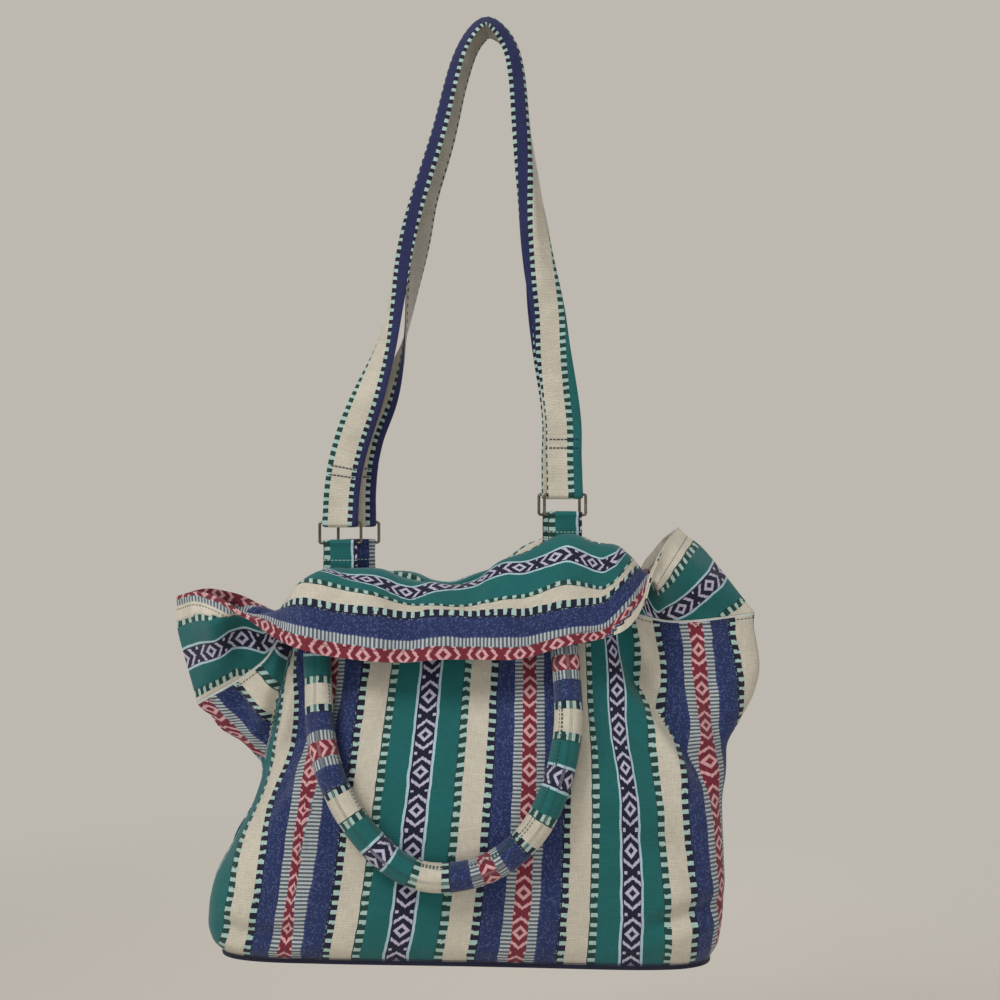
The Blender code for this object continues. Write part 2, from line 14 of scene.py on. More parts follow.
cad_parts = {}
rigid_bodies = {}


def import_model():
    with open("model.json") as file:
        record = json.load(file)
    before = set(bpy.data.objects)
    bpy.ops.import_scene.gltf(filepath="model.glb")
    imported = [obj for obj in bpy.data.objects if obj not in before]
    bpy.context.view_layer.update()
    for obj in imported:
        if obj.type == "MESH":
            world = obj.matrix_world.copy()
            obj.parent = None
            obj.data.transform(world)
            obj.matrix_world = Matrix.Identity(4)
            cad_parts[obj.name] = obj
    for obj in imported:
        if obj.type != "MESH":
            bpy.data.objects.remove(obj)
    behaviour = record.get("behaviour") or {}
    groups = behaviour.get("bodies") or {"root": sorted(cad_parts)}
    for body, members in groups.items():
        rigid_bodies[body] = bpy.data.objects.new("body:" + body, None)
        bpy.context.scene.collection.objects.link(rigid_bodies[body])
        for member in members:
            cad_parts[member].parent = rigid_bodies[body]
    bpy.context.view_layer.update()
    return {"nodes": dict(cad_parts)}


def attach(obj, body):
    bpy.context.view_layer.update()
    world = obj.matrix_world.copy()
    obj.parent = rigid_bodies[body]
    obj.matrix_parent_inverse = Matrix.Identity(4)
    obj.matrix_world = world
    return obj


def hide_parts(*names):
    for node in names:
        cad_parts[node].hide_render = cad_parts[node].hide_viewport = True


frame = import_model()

# %% [markdown]
# ## One set of measures
# The bag is easiest to think of from the middle of its base, so every measure here counts from there.
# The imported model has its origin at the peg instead. HOOK is the step from one to the other, and each
# finished piece is moved by it once, at the very end of its making.
# %% Measures of the bag
HOOK = Vector((0.015864, 0.0, 0.749210))

GAP = 0.0003
LAYER = 0.0012
BASE_THICKNESS = 0.003
BASE_REACH = 0.206
MOUTH_REACH_RIGHT = 0.236
MOUTH_REACH_LEFT = 0.222
BASE_HALF_DEPTH = 0.068
MOUTH_HALF_DEPTH = 0.014
LEFT_SEAM = 0.194
LEFT_TAB_SEAM = 0.297
MIDDLE_SEAM = 0.281
RIGHT_TAB_SEAM = 0.320
RIGHT_SEAM = 0.268
LEFT_TAB_X = -0.103
RIGHT_TAB_X = 0.080

print("body:", MOUTH_REACH_LEFT + MOUTH_REACH_RIGHT, "m wide at the mouth")

# %% [markdown]
# ## Smooth lines through a few measures
# Cloth has no sudden steps, so each profile is given by a few pairs of numbers and a curve through them.
# This kind of curve is level wherever the values turn, and so never swings past them.
# %% Curves through pairs
DECAY = 2.718


def clamp(value, low=0.0, high=1.0):
    return min(max(value, low), high)


def bell(distance, width):
    return DECAY ** -((distance / width) ** 2)


def fading(distance, reach):
    return DECAY ** (-distance / reach)


def hermite(a, slope_a, b, slope_b, t):
    return (
        a * (2 * t**3 - 3 * t**2 + 1) + slope_a * (t**3 - 2 * t**2 + t)
        + b * (3 * t**2 - 2 * t**3) + slope_b * (t**3 - t**2)
    )


def slope_at(places, values, k):
    if k == 0 or k == len(places) - 1:
        a = max(k - 1, 0)
        return (values[a + 1] - values[a]) / (places[a + 1] - places[a])
    before = (values[k] - values[k - 1]) / (places[k] - places[k - 1])
    after = (values[k + 1] - values[k]) / (places[k + 1] - places[k])
    return 0.0 if before * after <= 0 else 2 * before * after / (before + after)


def smooth_between(pairs, at):
    places = [pair[0] for pair in pairs]
    values = [pair[1] for pair in pairs]
    if at <= places[0]:
        return values[0]
    if at >= places[-1]:
        return values[-1]
    k = max(i for i in range(len(places) - 1) if places[i] <= at)
    span = places[k + 1] - places[k]
    return hermite(values[k], slope_at(places, values, k) * span,
                   values[k + 1], slope_at(places, values, k + 1) * span, (at - places[k]) / span)


print("halfway between 0 and 1:", smooth_between(((0, 0), (1, 1)), 0.5))

# %% [markdown]
# ## Paths through points
# A strap or a handle follows a path through a few points. Cloth doesn't stretch, so the points of the mesh
# are then spread evenly along it, and the running length says how much cloth has been used at each one.
# %% Paths
FINE_STEPS = 400


def through(points, at):
    last = len(points) - 1
    place = clamp(at) * last
    k = min(int(place), last - 1)
    t = place - k
    here, there = points[k], points[k + 1]
    before = points[k - 1] if k > 0 else here * 2 - there
    after = points[k + 2] if k + 2 <= last else there * 2 - here
    return (
        here * 2
        + (there - before) * t
        + (before * 2 - here * 5 + there * 4 - after) * t**2
        + (here * 3 - before - there * 3 + after) * t**3
    ) * 0.5


def running_lengths(points):
    lengths = [0.0]
    for a, b in zip(points, points[1:]):
        lengths.append(lengths[-1] + (b - a).length)
    return lengths


def spread(fine, count):
    lengths = running_lengths(fine)
    path = []
    k = 0
    for i in range(count):
        want = lengths[-1] * i / (count - 1)
        while k < len(fine) - 2 and lengths[k + 1] < want:
            k += 1
        share = (want - lengths[k]) / max(lengths[k + 1] - lengths[k], 1e-9)
        path.append(fine[k].lerp(fine[k + 1], min(share, 1.0)))
    return path


def spread_through(points, count):
    return spread([through(points, i / FINE_STEPS) for i in range(FINE_STEPS + 1)], count)


print("fine steps along a path:", FINE_STEPS)

# %% [markdown]
# ## The cloth's colours
# The cloth is woven in bands of green, cream, blue and dark red. Blender's shaders want linear light, and
# a colour is easier to judge on the usual 0 to 255 scale, so a small helper turns one into the other.
# %% Dyes
def dye(red, green, blue):
    def linear(value):
        value = value / 255
        return value / 12.92 if value <= 0.04045 else ((value + 0.055) / 1.055) ** 2.4
    return (linear(red), linear(green), linear(blue), 1.0)


CREAM = dye(193, 185, 168)
GREEN = dye(24, 93, 92)
DARK_GREEN = dye(24, 60, 56)
MINT = dye(160, 186, 177)
BLUE = dye(34, 46, 87)
FLECK = dye(82, 92, 134)
NAVY = dye(24, 25, 46)
DEEP_BLUE = dye(34, 38, 78)
LILAC = dye(182, 176, 198)
DARK_RED = dye(112, 36, 50)
PINK = dye(204, 156, 156)
HATCH_DARK = dye(84, 92, 104)
HATCH_PALE = dye(174, 180, 178)
PIPING = dye(190, 192, 186)
WHITE_LINE = dye(166, 190, 198)
# The strap's underside: the grey back of the weave, partly painted shade.
SHADED_UNDERSIDE = dye(164, 158, 146)
print("cream in linear light:", [round(value, 3) for value in CREAM[:3]])

# %% [markdown]
# ## Small helpers for shader nodes
# A woven pattern is arithmetic: how far across the band a point lies, and how far along it. calc adds one
# Math node, blend one colour mix, and inside is 1 where a value lies between two others.
# %% Node helpers
def calc(tree, operation, *values):
    node = tree.nodes.new("ShaderNodeMath")
    node.operation = operation
    for socket, value in zip(node.inputs, values):
        if isinstance(value, (int, float)):
            socket.default_value = value
        else:
            tree.links.new(value, socket)
    return node.outputs[0]


def blend(tree, factor, first, second):
    node = tree.nodes.new("ShaderNodeMix")
    node.data_type = "RGBA"
    for socket, value in zip((node.inputs[0], node.inputs[6], node.inputs[7]), (factor, first, second)):
        if isinstance(value, (int, float, tuple)):
            socket.default_value = value
        else:
            tree.links.new(value, socket)
    return node.outputs[2]


def inside(tree, value, low, high):
    over = calc(tree, "GREATER_THAN", value, low)
    under = calc(tree, "LESS_THAN", value, high)
    return calc(tree, "MULTIPLY", over, under)


def either(tree, *masks):
    total = masks[0]
    for mask in masks[1:]:
        total = calc(tree, "MAXIMUM", total, mask)
    return total


def bands(tree, value, stops):
    """A colour that changes in sharp steps; stops are (place from 0 to 1, colour)."""
    node = tree.nodes.new("ShaderNodeValToRGB")
    ramp = node.color_ramp
    ramp.interpolation = "CONSTANT"
    while len(ramp.elements) < len(stops):
        ramp.elements.new(0.5)
    for element, (place, colour) in zip(ramp.elements, stops):
        element.position = place
        element.color = colour
    tree.links.new(value, node.inputs[0])
    return node.outputs[0]


def cloud(tree, place, scale, detail=2.0):
    node = tree.nodes.new("ShaderNodeTexNoise")
    node.inputs["Scale"].default_value = scale
    node.inputs["Detail"].default_value = detail
    tree.links.new(place, node.inputs["Vector"])
    return node.outputs["Fac"]


def flat_place(tree, x, y):
    node = tree.nodes.new("ShaderNodeCombineXYZ")
    tree.links.new(x, node.inputs[0])
    tree.links.new(y, node.inputs[1])
    return node.outputs[0]


def scaled(tree, colour, tone):
    node = tree.nodes.new("ShaderNodeVectorMath")
    node.operation = "SCALE"
    tree.links.new(colour, node.inputs[0])
    tree.links.new(tone, node.inputs["Scale"])
    return node.outputs[0]


print("node helpers ready")

# %% [markdown]
# ## The striped weave
# The bands repeat every 168 mm and mirror about the middle of the diamond band. A ping-pong node folds
# the cloth on those mirror lines, so a single ramp from the diamond band (0) to the red band (84 mm) gives
# all ground colours. The figures are drawn the same way: distance across plus distance along makes
# diamonds and chevrons, and a square wave makes the teeth. All figures are stepped to whole threads.
# %% Fields of the weave
HALF_REPEAT = 84.0
FIELDS = (
    (0.0, NAVY, LILAC),
    (7.5, WHITE_LINE, WHITE_LINE),
    (9.5, GREEN, GREEN),
    (26.5, DARK_GREEN, MINT),
    (32.5, CREAM, CREAM),
    (49.5, NAVY, MINT),
    (55.5, BLUE, FLECK),
    (71.0, HATCH_DARK, HATCH_PALE),
    (78.0, DARK_RED, PINK),
)
print("fields:", len(FIELDS), "in", HALF_REPEAT, "mm")

# %% [markdown]
# ## Diamonds, teeth and flecks
# Each figure is a mask, 1 where its thread shows. A chain of diamonds is woven twice, once in navy and
# once in dark red, so it is a function of the distance from the middle of its band. The whole repeats
# that FAR adds keep the remainder of a division above zero on all pieces.
# %% Figures of the weave
THREAD = 0.8
CHAIN_HALF = 15.6
DIAMOND_SLOPE, DIAMOND_RING = 1.12, (2.9, 6.3)
CHEVRON_SLOPE, CHEVRON_ARMS, CHEVRON_REACH = 0.78, (10.4, 13.2), 6.5
EDGE_DOTS, DOT_LENGTH = (4.2, 6.6), 1.2
TOOTH, TOOTH_PALE = 7.5, 0.42
HATCH = 3.1
FAR = 1000
UNSTEADY_SCALE, UNSTEADY = 0.11, 3.0
FLECK_CELL, FLECK_CHANCE, FLECK_STRENGTH = (0.9, 1.1), 0.80, 0.55


def chain(tree, run, width):
    """Diamond rings, chevrons and edge dots, width being the distance from the band's middle."""
    ring = inside(tree, calc(tree, "MULTIPLY_ADD", run, DIAMOND_SLOPE, width), *DIAMOND_RING)
    arms = inside(tree, calc(tree, "MULTIPLY_ADD", width, CHEVRON_SLOPE, run), *CHEVRON_ARMS)
    arms = calc(tree, "MULTIPLY", arms, calc(tree, "LESS_THAN", width, CHEVRON_REACH))
    ends = calc(tree, "GREATER_THAN", run, CHAIN_HALF - DOT_LENGTH)
    return either(tree, ring, arms, calc(tree, "MULTIPLY", inside(tree, width, *EDGE_DOTS), ends))


def flecks(tree, across, along):
    chance = tree.nodes.new("ShaderNodeTexWhiteNoise")
    chance.noise_dimensions = "2D"
    cell = flat_place(tree, *(calc(tree, "SNAP", value, size) for value, size in zip((across, along), FLECK_CELL)))
    tree.links.new(cell, chance.inputs["Vector"])
    return calc(tree, "GREATER_THAN", chance.outputs["Value"], FLECK_CHANCE)


def figure_mask(tree, place, across, along, folded):
    step = calc(tree, "SNAP", along, THREAD)
    run = calc(tree, "PINGPONG", step, CHAIN_HALF)
    from_red = calc(tree, "SUBTRACT", HALF_REPEAT, folded)
    unsteady = calc(tree, "MULTIPLY_ADD", cloud(tree, place, UNSTEADY_SCALE), UNSTEADY, step)
    tooth = calc(tree, "MODULO", calc(tree, "ADD", unsteady, FAR * TOOTH), TOOTH)
    square = calc(tree, "LESS_THAN", tooth, TOOTH * TOOTH_PALE)
    fine = calc(tree, "MODULO", calc(tree, "ADD", along, FAR * HATCH), HATCH)
    shown = [calc(tree, "MULTIPLY", mask, inside(tree, folded, low, high)) for mask, low, high in (
        (chain(tree, run, folded), -1, 7.6),
        (chain(tree, run, from_red), 78.0, 85.0),
        (square, 26.5, 32.5),
        (square, 49.4, 54.6),
        (calc(tree, "GREATER_THAN", fine, HATCH * 0.5), 71.0, 78.0),
        (flecks(tree, across, along), 55.5, 71.0),
    )]
    shown[-1] = calc(tree, "MULTIPLY", shown[-1], FLECK_STRENGTH)
    return either(tree, *shown)


print("a diamond every", 2 * CHAIN_HALF, "mm, a tooth every", TOOTH, "mm")

# %% [markdown]
# ## The weave as one node group
# The threads lie across one another, a little uneven in colour and worn paler in patches. All the sewn
# pieces use this one group, so a change to the cloth is made in one place.
# %% The weave as a node group
WANDER_SCALE, WANDER = 0.06, 2.4
STREAK_FINE, STREAK_LONG, STREAK = 1.3, 0.10, 0.42
PATCH_SCALE, PATCH = 0.022, 0.30
TONE_FLOOR = 0.43
RIB, CORD, CORD_DEPTH = 1.25, 1.05, 0.6


def streaks(tree, across, along, across_scale, along_scale):
    stretched = flat_place(tree, calc(tree, "MULTIPLY", across, across_scale),
                           calc(tree, "MULTIPLY", along, along_scale))
    return cloud(tree, stretched, 1.0)


def weave_group():
    group = bpy.data.node_groups.new("striped_weave", "ShaderNodeTree")
    for name, way, kind in (("Across", "INPUT", "Float"), ("Along", "INPUT", "Float"),
                            ("Colour", "OUTPUT", "Color"), ("Relief", "OUTPUT", "Float")):
        group.interface.new_socket(name, in_out=way, socket_type="NodeSocket" + kind)
    ends = group.nodes.new("NodeGroupInput")
    out = group.nodes.new("NodeGroupOutput")
    across, along = ends.outputs["Across"], ends.outputs["Along"]

    place = flat_place(group, across, along)
    wander = calc(group, "SUBTRACT", cloud(group, place, WANDER_SCALE), 0.5)
    waved = calc(group, "MULTIPLY_ADD", wander, WANDER, across)
    share = calc(group, "DIVIDE", calc(group, "PINGPONG", waved, HALF_REPEAT), HALF_REPEAT)
    folded = calc(group, "PINGPONG", calc(group, "SNAP", waved, THREAD), HALF_REPEAT)
    ground = bands(group, share, [(start / HALF_REPEAT, dark) for start, dark, light in FIELDS])
    figure = bands(group, share, [(start / HALF_REPEAT, light) for start, dark, light in FIELDS])
    mask = figure_mask(group, place, across, along, folded)
    pattern = blend(group, mask, ground, figure)

    warp = streaks(group, across, along, STREAK_FINE, STREAK_LONG)
    weft = streaks(group, across, along, STREAK_LONG, STREAK_FINE)
    patches = cloud(group, place, PATCH_SCALE, 3.0)
    uneven = calc(group, "ADD", calc(group, "MULTIPLY", warp, STREAK), calc(group, "MULTIPLY", weft, STREAK))
    uneven = calc(group, "ADD", uneven, calc(group, "MULTIPLY", patches, PATCH))
    worn = scaled(group, pattern, calc(group, "ADD", uneven, TONE_FLOOR))

    ribs = calc(group, "SINE", calc(group, "MULTIPLY", along, 2 * pi / RIB))
    cords = calc(group, "SINE", calc(group, "MULTIPLY", across, 2 * pi / CORD))
    relief = calc(group, "MULTIPLY", calc(group, "ADD", ribs, calc(group, "MULTIPLY", cords, CORD_DEPTH)), 0.25)
    relief = calc(group, "ADD", relief, calc(group, "MULTIPLY", mask, 0.5))
    relief = calc(group, "ADD", relief, calc(group, "ADD", warp, weft))
    group.links.new(worn, out.inputs["Colour"])
    group.links.new(relief, out.inputs["Relief"])
    return group


WEAVE = weave_group()
print("weave group:", len(WEAVE.nodes), "nodes")

# %% [markdown]
# ## Cloth materials
# Each piece carries two UV maps measured in metres. Weave holds the place across and along the bands, and
# Seam the distance from two of its edges. The first draws the pattern. The second draws stitching and
# the wear along edges, so these stay at the right scale on every piece.
# %% Material helpers
BUMP_STRENGTH = 0.8
CLOTH_RELIEF = 0.00035


def new_material(name, roughness):
    made = bpy.data.materials.new(name)
    made.use_nodes = True
    shader = made.node_tree.nodes["Principled BSDF"]
    shader.inputs["Roughness"].default_value = roughness
    shader.inputs["Specular IOR Level"].default_value = 0.25
    shader.inputs["Sheen Weight"].default_value = 0.15
    return made, made.node_tree, shader


def metres(tree, map_name):
    """The two numbers of a UV map, in millimetres."""
    uv = tree.nodes.new("ShaderNodeUVMap")
    uv.uv_map = map_name
    parts = tree.nodes.new("ShaderNodeSeparateXYZ")
    tree.links.new(uv.outputs[0], parts.inputs[0])
    return [calc(tree, "MULTIPLY", parts.outputs[k], 1000.0) for k in (0, 1)]


def add_relief(tree, shader, height, depth):
    bump = tree.nodes.new("ShaderNodeBump")
    bump.inputs["Distance"].default_value = depth
    bump.inputs["Strength"].default_value = BUMP_STRENGTH
    tree.links.new(height, bump.inputs["Height"])
    tree.links.new(bump.outputs[0], shader.inputs["Normal"])


print("cloth relief:", CLOTH_RELIEF, "m deep")

# %% [markdown]
# ## Woven cloth, sewn
# A sewn row is a line of short threads that lie in a shallow groove. The collar's outer band also shows the
# red edge of its facing, which is turned over the hem, and the body's foot is darkened with painted shade.
# %% Cloth material
STITCH_PITCH, STITCH_LENGTH = 3.2, 2.2
STITCH_HALF, GROOVE_HALF = 0.4, 1.2
WRAP_END, WRAP_BAND = 130.0, 81.0
# Painted shade at the panels' foot: how high it reaches and how dark it gets, then the dark foot seam line, which
# is partly painted shade.
FOOT_HEIGHT, FOOT_PAINTED_SHADE = 9.0, 0.55
FOOT_SEAM, FOOT_SEAM_AND_SHADE = 5.4, 0.75


def cloth(name, stitches=(), stitch_colour=NAVY, edge_lines=(), wrap=0.0, foot=False):
    """Woven cloth; stitches are distances of sewn rows from the first edge, in millimetres.
    wrap is how far the red edge of the facing comes over, and foot paints shade along the bag's foot and its seam."""
    made, tree, shader = new_material(name, 0.92)
    across, along = metres(tree, "Weave")
    edge, side = metres(tree, "Seam")
    weave = tree.nodes.new("ShaderNodeGroup")
    weave.node_tree = WEAVE
    if wrap:
        over = calc(tree, "MULTIPLY", calc(tree, "LESS_THAN", edge, wrap),
                    calc(tree, "LESS_THAN", side, WRAP_END))
        turned = calc(tree, "SUBTRACT", calc(tree, "SUBTRACT", edge, WRAP_BAND), across)
        across = calc(tree, "MULTIPLY_ADD", over, turned, across)
    tree.links.new(across, weave.inputs["Across"])
    tree.links.new(along, weave.inputs["Along"])
    colour, relief = weave.outputs["Colour"], weave.outputs["Relief"]
    for low, high, line_colour in edge_lines:
        colour = blend(tree, inside(tree, edge, low, high), colour, line_colour)
    run = calc(tree, "MODULO", calc(tree, "ADD", side, FAR * STITCH_PITCH), STITCH_PITCH)
    for distance in stitches:
        row = inside(tree, edge, distance - STITCH_HALF, distance + STITCH_HALF)
        sewn = calc(tree, "MULTIPLY", row, calc(tree, "LESS_THAN", run, STITCH_LENGTH))
        colour = blend(tree, calc(tree, "MULTIPLY", sewn, 0.85), colour, stitch_colour)
        groove = inside(tree, edge, distance - GROOVE_HALF, distance + GROOVE_HALF)
        relief = calc(tree, "SUBTRACT", relief, calc(tree, "MULTIPLY", groove, 0.8))
        relief = calc(tree, "ADD", relief, calc(tree, "MULTIPLY", sewn, 1.6))
    if foot:
        # painted shade, darker towards the foot; the bottom line is partly the dark seam and partly painted shade
        painted_shade = calc(tree, "SUBTRACT", 1.0, calc(tree, "DIVIDE", along, FOOT_HEIGHT))
        painted_shade = calc(tree, "MULTIPLY", calc(tree, "MAXIMUM", painted_shade, 0.0), FOOT_PAINTED_SHADE)
        seam_and_shade_line = calc(tree, "MULTIPLY", calc(tree, "LESS_THAN", along, FOOT_SEAM), FOOT_SEAM_AND_SHADE)
        colour = blend(tree, either(tree, painted_shade, seam_and_shade_line), colour, NAVY)
    tree.links.new(colour, shader.inputs["Base Color"])
    add_relief(tree, shader, relief, CLOTH_RELIEF)
    return made


panel_cloth = cloth("panel_cloth", (4.0,), NAVY, ((-1.0, 1.8, PIPING),), foot=True)
band_cloth = cloth("collar_band_cloth", (11.0,), NAVY, wrap=8.0)
facing_cloth = cloth("facing_cloth", (8.0,), DARK_RED)
handle_cloth = cloth("handle_cloth", (1.5,), DARK_GREEN)
tab_cloth = cloth("tab_cloth", (3.0, 14.0), MINT)
# The base's outer 6 mm are navy: the dark seam at the foot, partly painted shade.
base_cloth = cloth("base_cloth", (9.0,), NAVY, ((-1.0, 6.0, NAVY),))
print("cloth materials:", len([m for m in bpy.data.materials if "cloth" in m.name]))

# %% [markdown]
# ## The strap's ribbon
# The straps are cut from one edge of the same cloth: green, teeth, cream, dashes and navy. Their underside
# is the back of the weave, a grey that is partly painted shade, with the navy thread carried across it in short
# floats.
# %% Strap materials
STRAP_TOOTH, STRAP_TOOTH_PALE = 6.4, 0.45
STRAP_UNSTEADY = 2.5
GRAIN_SCALE, WORN_SCALE = 0.9, 0.05
STRAP_TONE_FLOOR = 0.48
LOOP_ROWS, LOOP_ROW_WIDE = (-8.5, -1.5), 1.3
LOOP_ROW_INSET = (2.0, 27.0)
LOOP_STITCH_PITCH, LOOP_STITCH_LENGTH = 3.0, 2.4
STRAP_FACE_SPAN, STRAP_BACK_SPAN = 60.0, 29.0


def ribbon(name, fields, span, by_width):
    """A narrow band: fields are (place across in mm, ground, figure), and figures come in even steps."""
    made, tree, shader = new_material(name, 0.88)
    across, along = metres(tree, "Weave")
    edge, width = metres(tree, "Seam")
    place = flat_place(tree, across, along)
    share = calc(tree, "DIVIDE", width if by_width else across, span)
    ground = bands(tree, share, [(start / span, dark) for start, dark, light in fields])
    figure = bands(tree, share, [(start / span, light) for start, dark, light in fields])
    step = calc(tree, "MULTIPLY_ADD", cloud(tree, place, UNSTEADY_SCALE), STRAP_UNSTEADY, along)
    run = calc(tree, "MODULO", calc(tree, "ADD", step, FAR * STRAP_TOOTH), STRAP_TOOTH)
    square = calc(tree, "LESS_THAN", run, STRAP_TOOTH * STRAP_TOOTH_PALE)
    colour = blend(tree, square, ground, figure)
    grain = cloud(tree, place, GRAIN_SCALE)
    worn = cloud(tree, place, WORN_SCALE)
    tone = calc(tree, "ADD", calc(tree, "MULTIPLY", grain, 0.5), calc(tree, "MULTIPLY", worn, 0.5))
    colour = scaled(tree, colour, calc(tree, "ADD", tone, STRAP_TONE_FLOOR))
    ribs = calc(tree, "SINE", calc(tree, "MULTIPLY", along, 2 * pi / RIB))
    relief = calc(tree, "ADD", calc(tree, "MULTIPLY", ribs, 0.3), calc(tree, "MULTIPLY", square, 0.5))
    relief = calc(tree, "ADD", relief, calc(tree, "MULTIPLY", grain, 1.5))
    run = calc(tree, "MODULO", width, LOOP_STITCH_PITCH)
    for distance in LOOP_ROWS:
        row = calc(tree, "MULTIPLY", inside(tree, edge, distance, distance + LOOP_ROW_WIDE),
                   inside(tree, width, *LOOP_ROW_INSET))
        sewn = calc(tree, "MULTIPLY", row, calc(tree, "LESS_THAN", run, LOOP_STITCH_LENGTH))
        colour = blend(tree, calc(tree, "MULTIPLY", sewn, 0.9), colour, NAVY)
        relief = calc(tree, "SUBTRACT", relief, row)
    tree.links.new(colour, shader.inputs["Base Color"])
    add_relief(tree, shader, relief, CLOTH_RELIEF)
    return made


strap_face = ribbon("strap_face", (
    (0.0, GREEN, GREEN), (9.0, DARK_GREEN, MINT), (14.0, CREAM, CREAM), (30.0, NAVY, MINT),
    (33.6, DEEP_BLUE, DEEP_BLUE), (42.4, NAVY, MINT), (46.0, CREAM, CREAM)), STRAP_FACE_SPAN, False)
# The underside's grey is partly painted shade.
strap_back = ribbon("strap_underside", (
    (0.0, SHADED_UNDERSIDE, SHADED_UNDERSIDE), (1.2, SHADED_UNDERSIDE, NAVY), (3.4, SHADED_UNDERSIDE, SHADED_UNDERSIDE),
    (25.6, SHADED_UNDERSIDE, NAVY), (27.8, SHADED_UNDERSIDE, SHADED_UNDERSIDE)), STRAP_BACK_SPAN, True)
print("strap materials:", strap_face.name, strap_back.name)

# %% [markdown]
# ## A sheet of cloth from a grid of points
# Every sewn piece starts as rows and columns of points on its surface. Two copies of the grid, set apart
# by the cloth's thickness along the normals, are joined round the rim to a closed sheet. Doing this by
# hand, and not with a modifier, lets both layers of the collar keep an exact distance.
# %% Normals and meshes
def grid_normals(grid, level_rows):
    rows, columns = len(grid), len(grid[0])
    normals = []
    for j in range(rows):
        line = []
        for i in range(columns):
            before = grid[j][i - 1] if i > 0 else grid[j][1]
            after = grid[j][i + 1] if i < columns - 1 else grid[j][columns - 2]
            if i == 0:
                before = Vector((before.x, -before.y, before.z))
            if i == columns - 1:
                after = Vector((after.x, -after.y, after.z))
            up = grid[min(j + 1, rows - 1)][i] - grid[max(j - 1, 0)][i]
            if j in level_rows:
                up = Vector((0, 0, 1))
            line.append((after - before).cross(up).normalized())
        normals.append(line)
    return normals


def finished(name, points, faces, maps, materials, which=None, smooth_angle=0.9):
    """Mesh object from lists, moved to the peg's origin, with its UV maps and materials."""
    data = bpy.data.meshes.new(name)
    data.from_pydata([tuple(point - HOOK) for point in points], [], faces)
    for map_name, values in maps.items():
        layer = data.uv_layers.new(name=map_name)
        for loop in data.loops:
            layer.data[loop.index].uv = values[loop.vertex_index]
    for item in materials:
        data.materials.append(item)
    for polygon in data.polygons:
        polygon.use_smooth = True
        if which:
            polygon.material_index = which[polygon.index]
    data.set_sharp_from_angle(angle=smooth_angle)
    data.validate()
    made = bpy.data.objects.new(name, data)
    bpy.context.scene.collection.objects.link(made)
    return made


print("mesh helpers ready")

# %% [markdown]
# ## Closing a sheet and a tube
# A closed skin has no holes and all its faces point outwards. The faces of a sheet and of a tube follow
# the same plan whatever their form is, so two helpers write them down for all the pieces. The back
# half of the bag is the front half mirrored, and mirroring turns the faces over.
# %% Sheets and tubes
def sheet_faces(rows, columns):
    """Two layers of rows and columns, joined round the rim."""
    def at(layer, j, i):
        return layer * rows * columns + j * columns + i

    faces = []
    for j in range(rows - 1):
        for i in range(columns - 1):
            faces.append((at(0, j, i), at(0, j, i + 1), at(0, j + 1, i + 1), at(0, j + 1, i)))
            faces.append((at(1, j, i), at(1, j + 1, i), at(1, j + 1, i + 1), at(1, j, i + 1)))
    end = rows - 1
    for i in range(columns - 1):
        faces.append((at(0, 0, i), at(1, 0, i), at(1, 0, i + 1), at(0, 0, i + 1)))
        faces.append((at(0, end, i), at(0, end, i + 1), at(1, end, i + 1), at(1, end, i)))
    end = columns - 1
    for j in range(rows - 1):
        faces.append((at(0, j, 0), at(0, j + 1, 0), at(1, j + 1, 0), at(1, j, 0)))
        faces.append((at(0, j, end), at(1, j, end), at(1, j + 1, end), at(0, j + 1, end)))
    return faces


def tube_faces(rows, around, clockwise=False):
    """Rings of points one after another, closed by a face at each end."""
    faces = []
    for i in range(rows - 1):
        for k in range(around):
            a, b = i * around + k, i * around + (k + 1) % around
            c, d = b + around, a + around
            faces.append((a, d, c, b) if clockwise else (a, b, c, d))
    first = tuple(range(around))
    last = tuple((rows - 1) * around + k for k in range(around))
    faces += [first, last[::-1]] if clockwise else [first[::-1], last]
    return faces


def mirrored(faces):
    return [face[::-1] for face in faces]


def sheet(name, grid, normals, weave, seam, near, far, material, back=False):
    rows, columns = len(grid), len(grid[0])
    points, uv_weave, uv_seam = [], [], []
    for offset in (near, far):
        for j in range(rows):
            for i in range(columns):
                point = grid[j][i] + normals[j][i] * offset
                point.y = min(point.y, -GAP / 2)
                if back:
                    point.y = -point.y
                points.append(point)
                uv_weave.append(weave[j][i])
                uv_seam.append(seam[j][i])
    faces = sheet_faces(rows, columns)
    if back:
        faces = mirrored(faces)
    return finished(name, points, faces, {"Weave": uv_weave, "Seam": uv_seam}, [material])


print("sheet helper ready")

# %% [markdown]
# ## The body's form
# The body is a loft: a rounded box at the base that narrows to a flat lens at the mouth, wider at one side
# than the other because the bag sags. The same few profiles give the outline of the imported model.
# %% Profiles of the body
BASE = BASE_THICKNESS + GAP


def side_reach(v, right):
    base = BASE_REACH
    if right:
        mouth = MOUTH_REACH_RIGHT
        return smooth_between(((0, base - 0.010), (0.05, base - 0.003), (0.2, base), (0.43, base + 0.002),
                               (0.58, base + 0.005), (0.66, mouth - 0.014), (0.75, mouth - 0.002),
                               (0.85, mouth + 0.003), (1, mouth)), v)
    mouth = MOUTH_REACH_LEFT
    return smooth_between(((0, base - 0.010), (0.05, base - 0.003), (0.12, base), (0.25, base - 0.003),
                           (0.42, base - 0.013), (0.59, base - 0.027), (0.72, base - 0.034),
                           (0.80, base - 0.026), (0.91, mouth - 0.015), (1, mouth)), v)


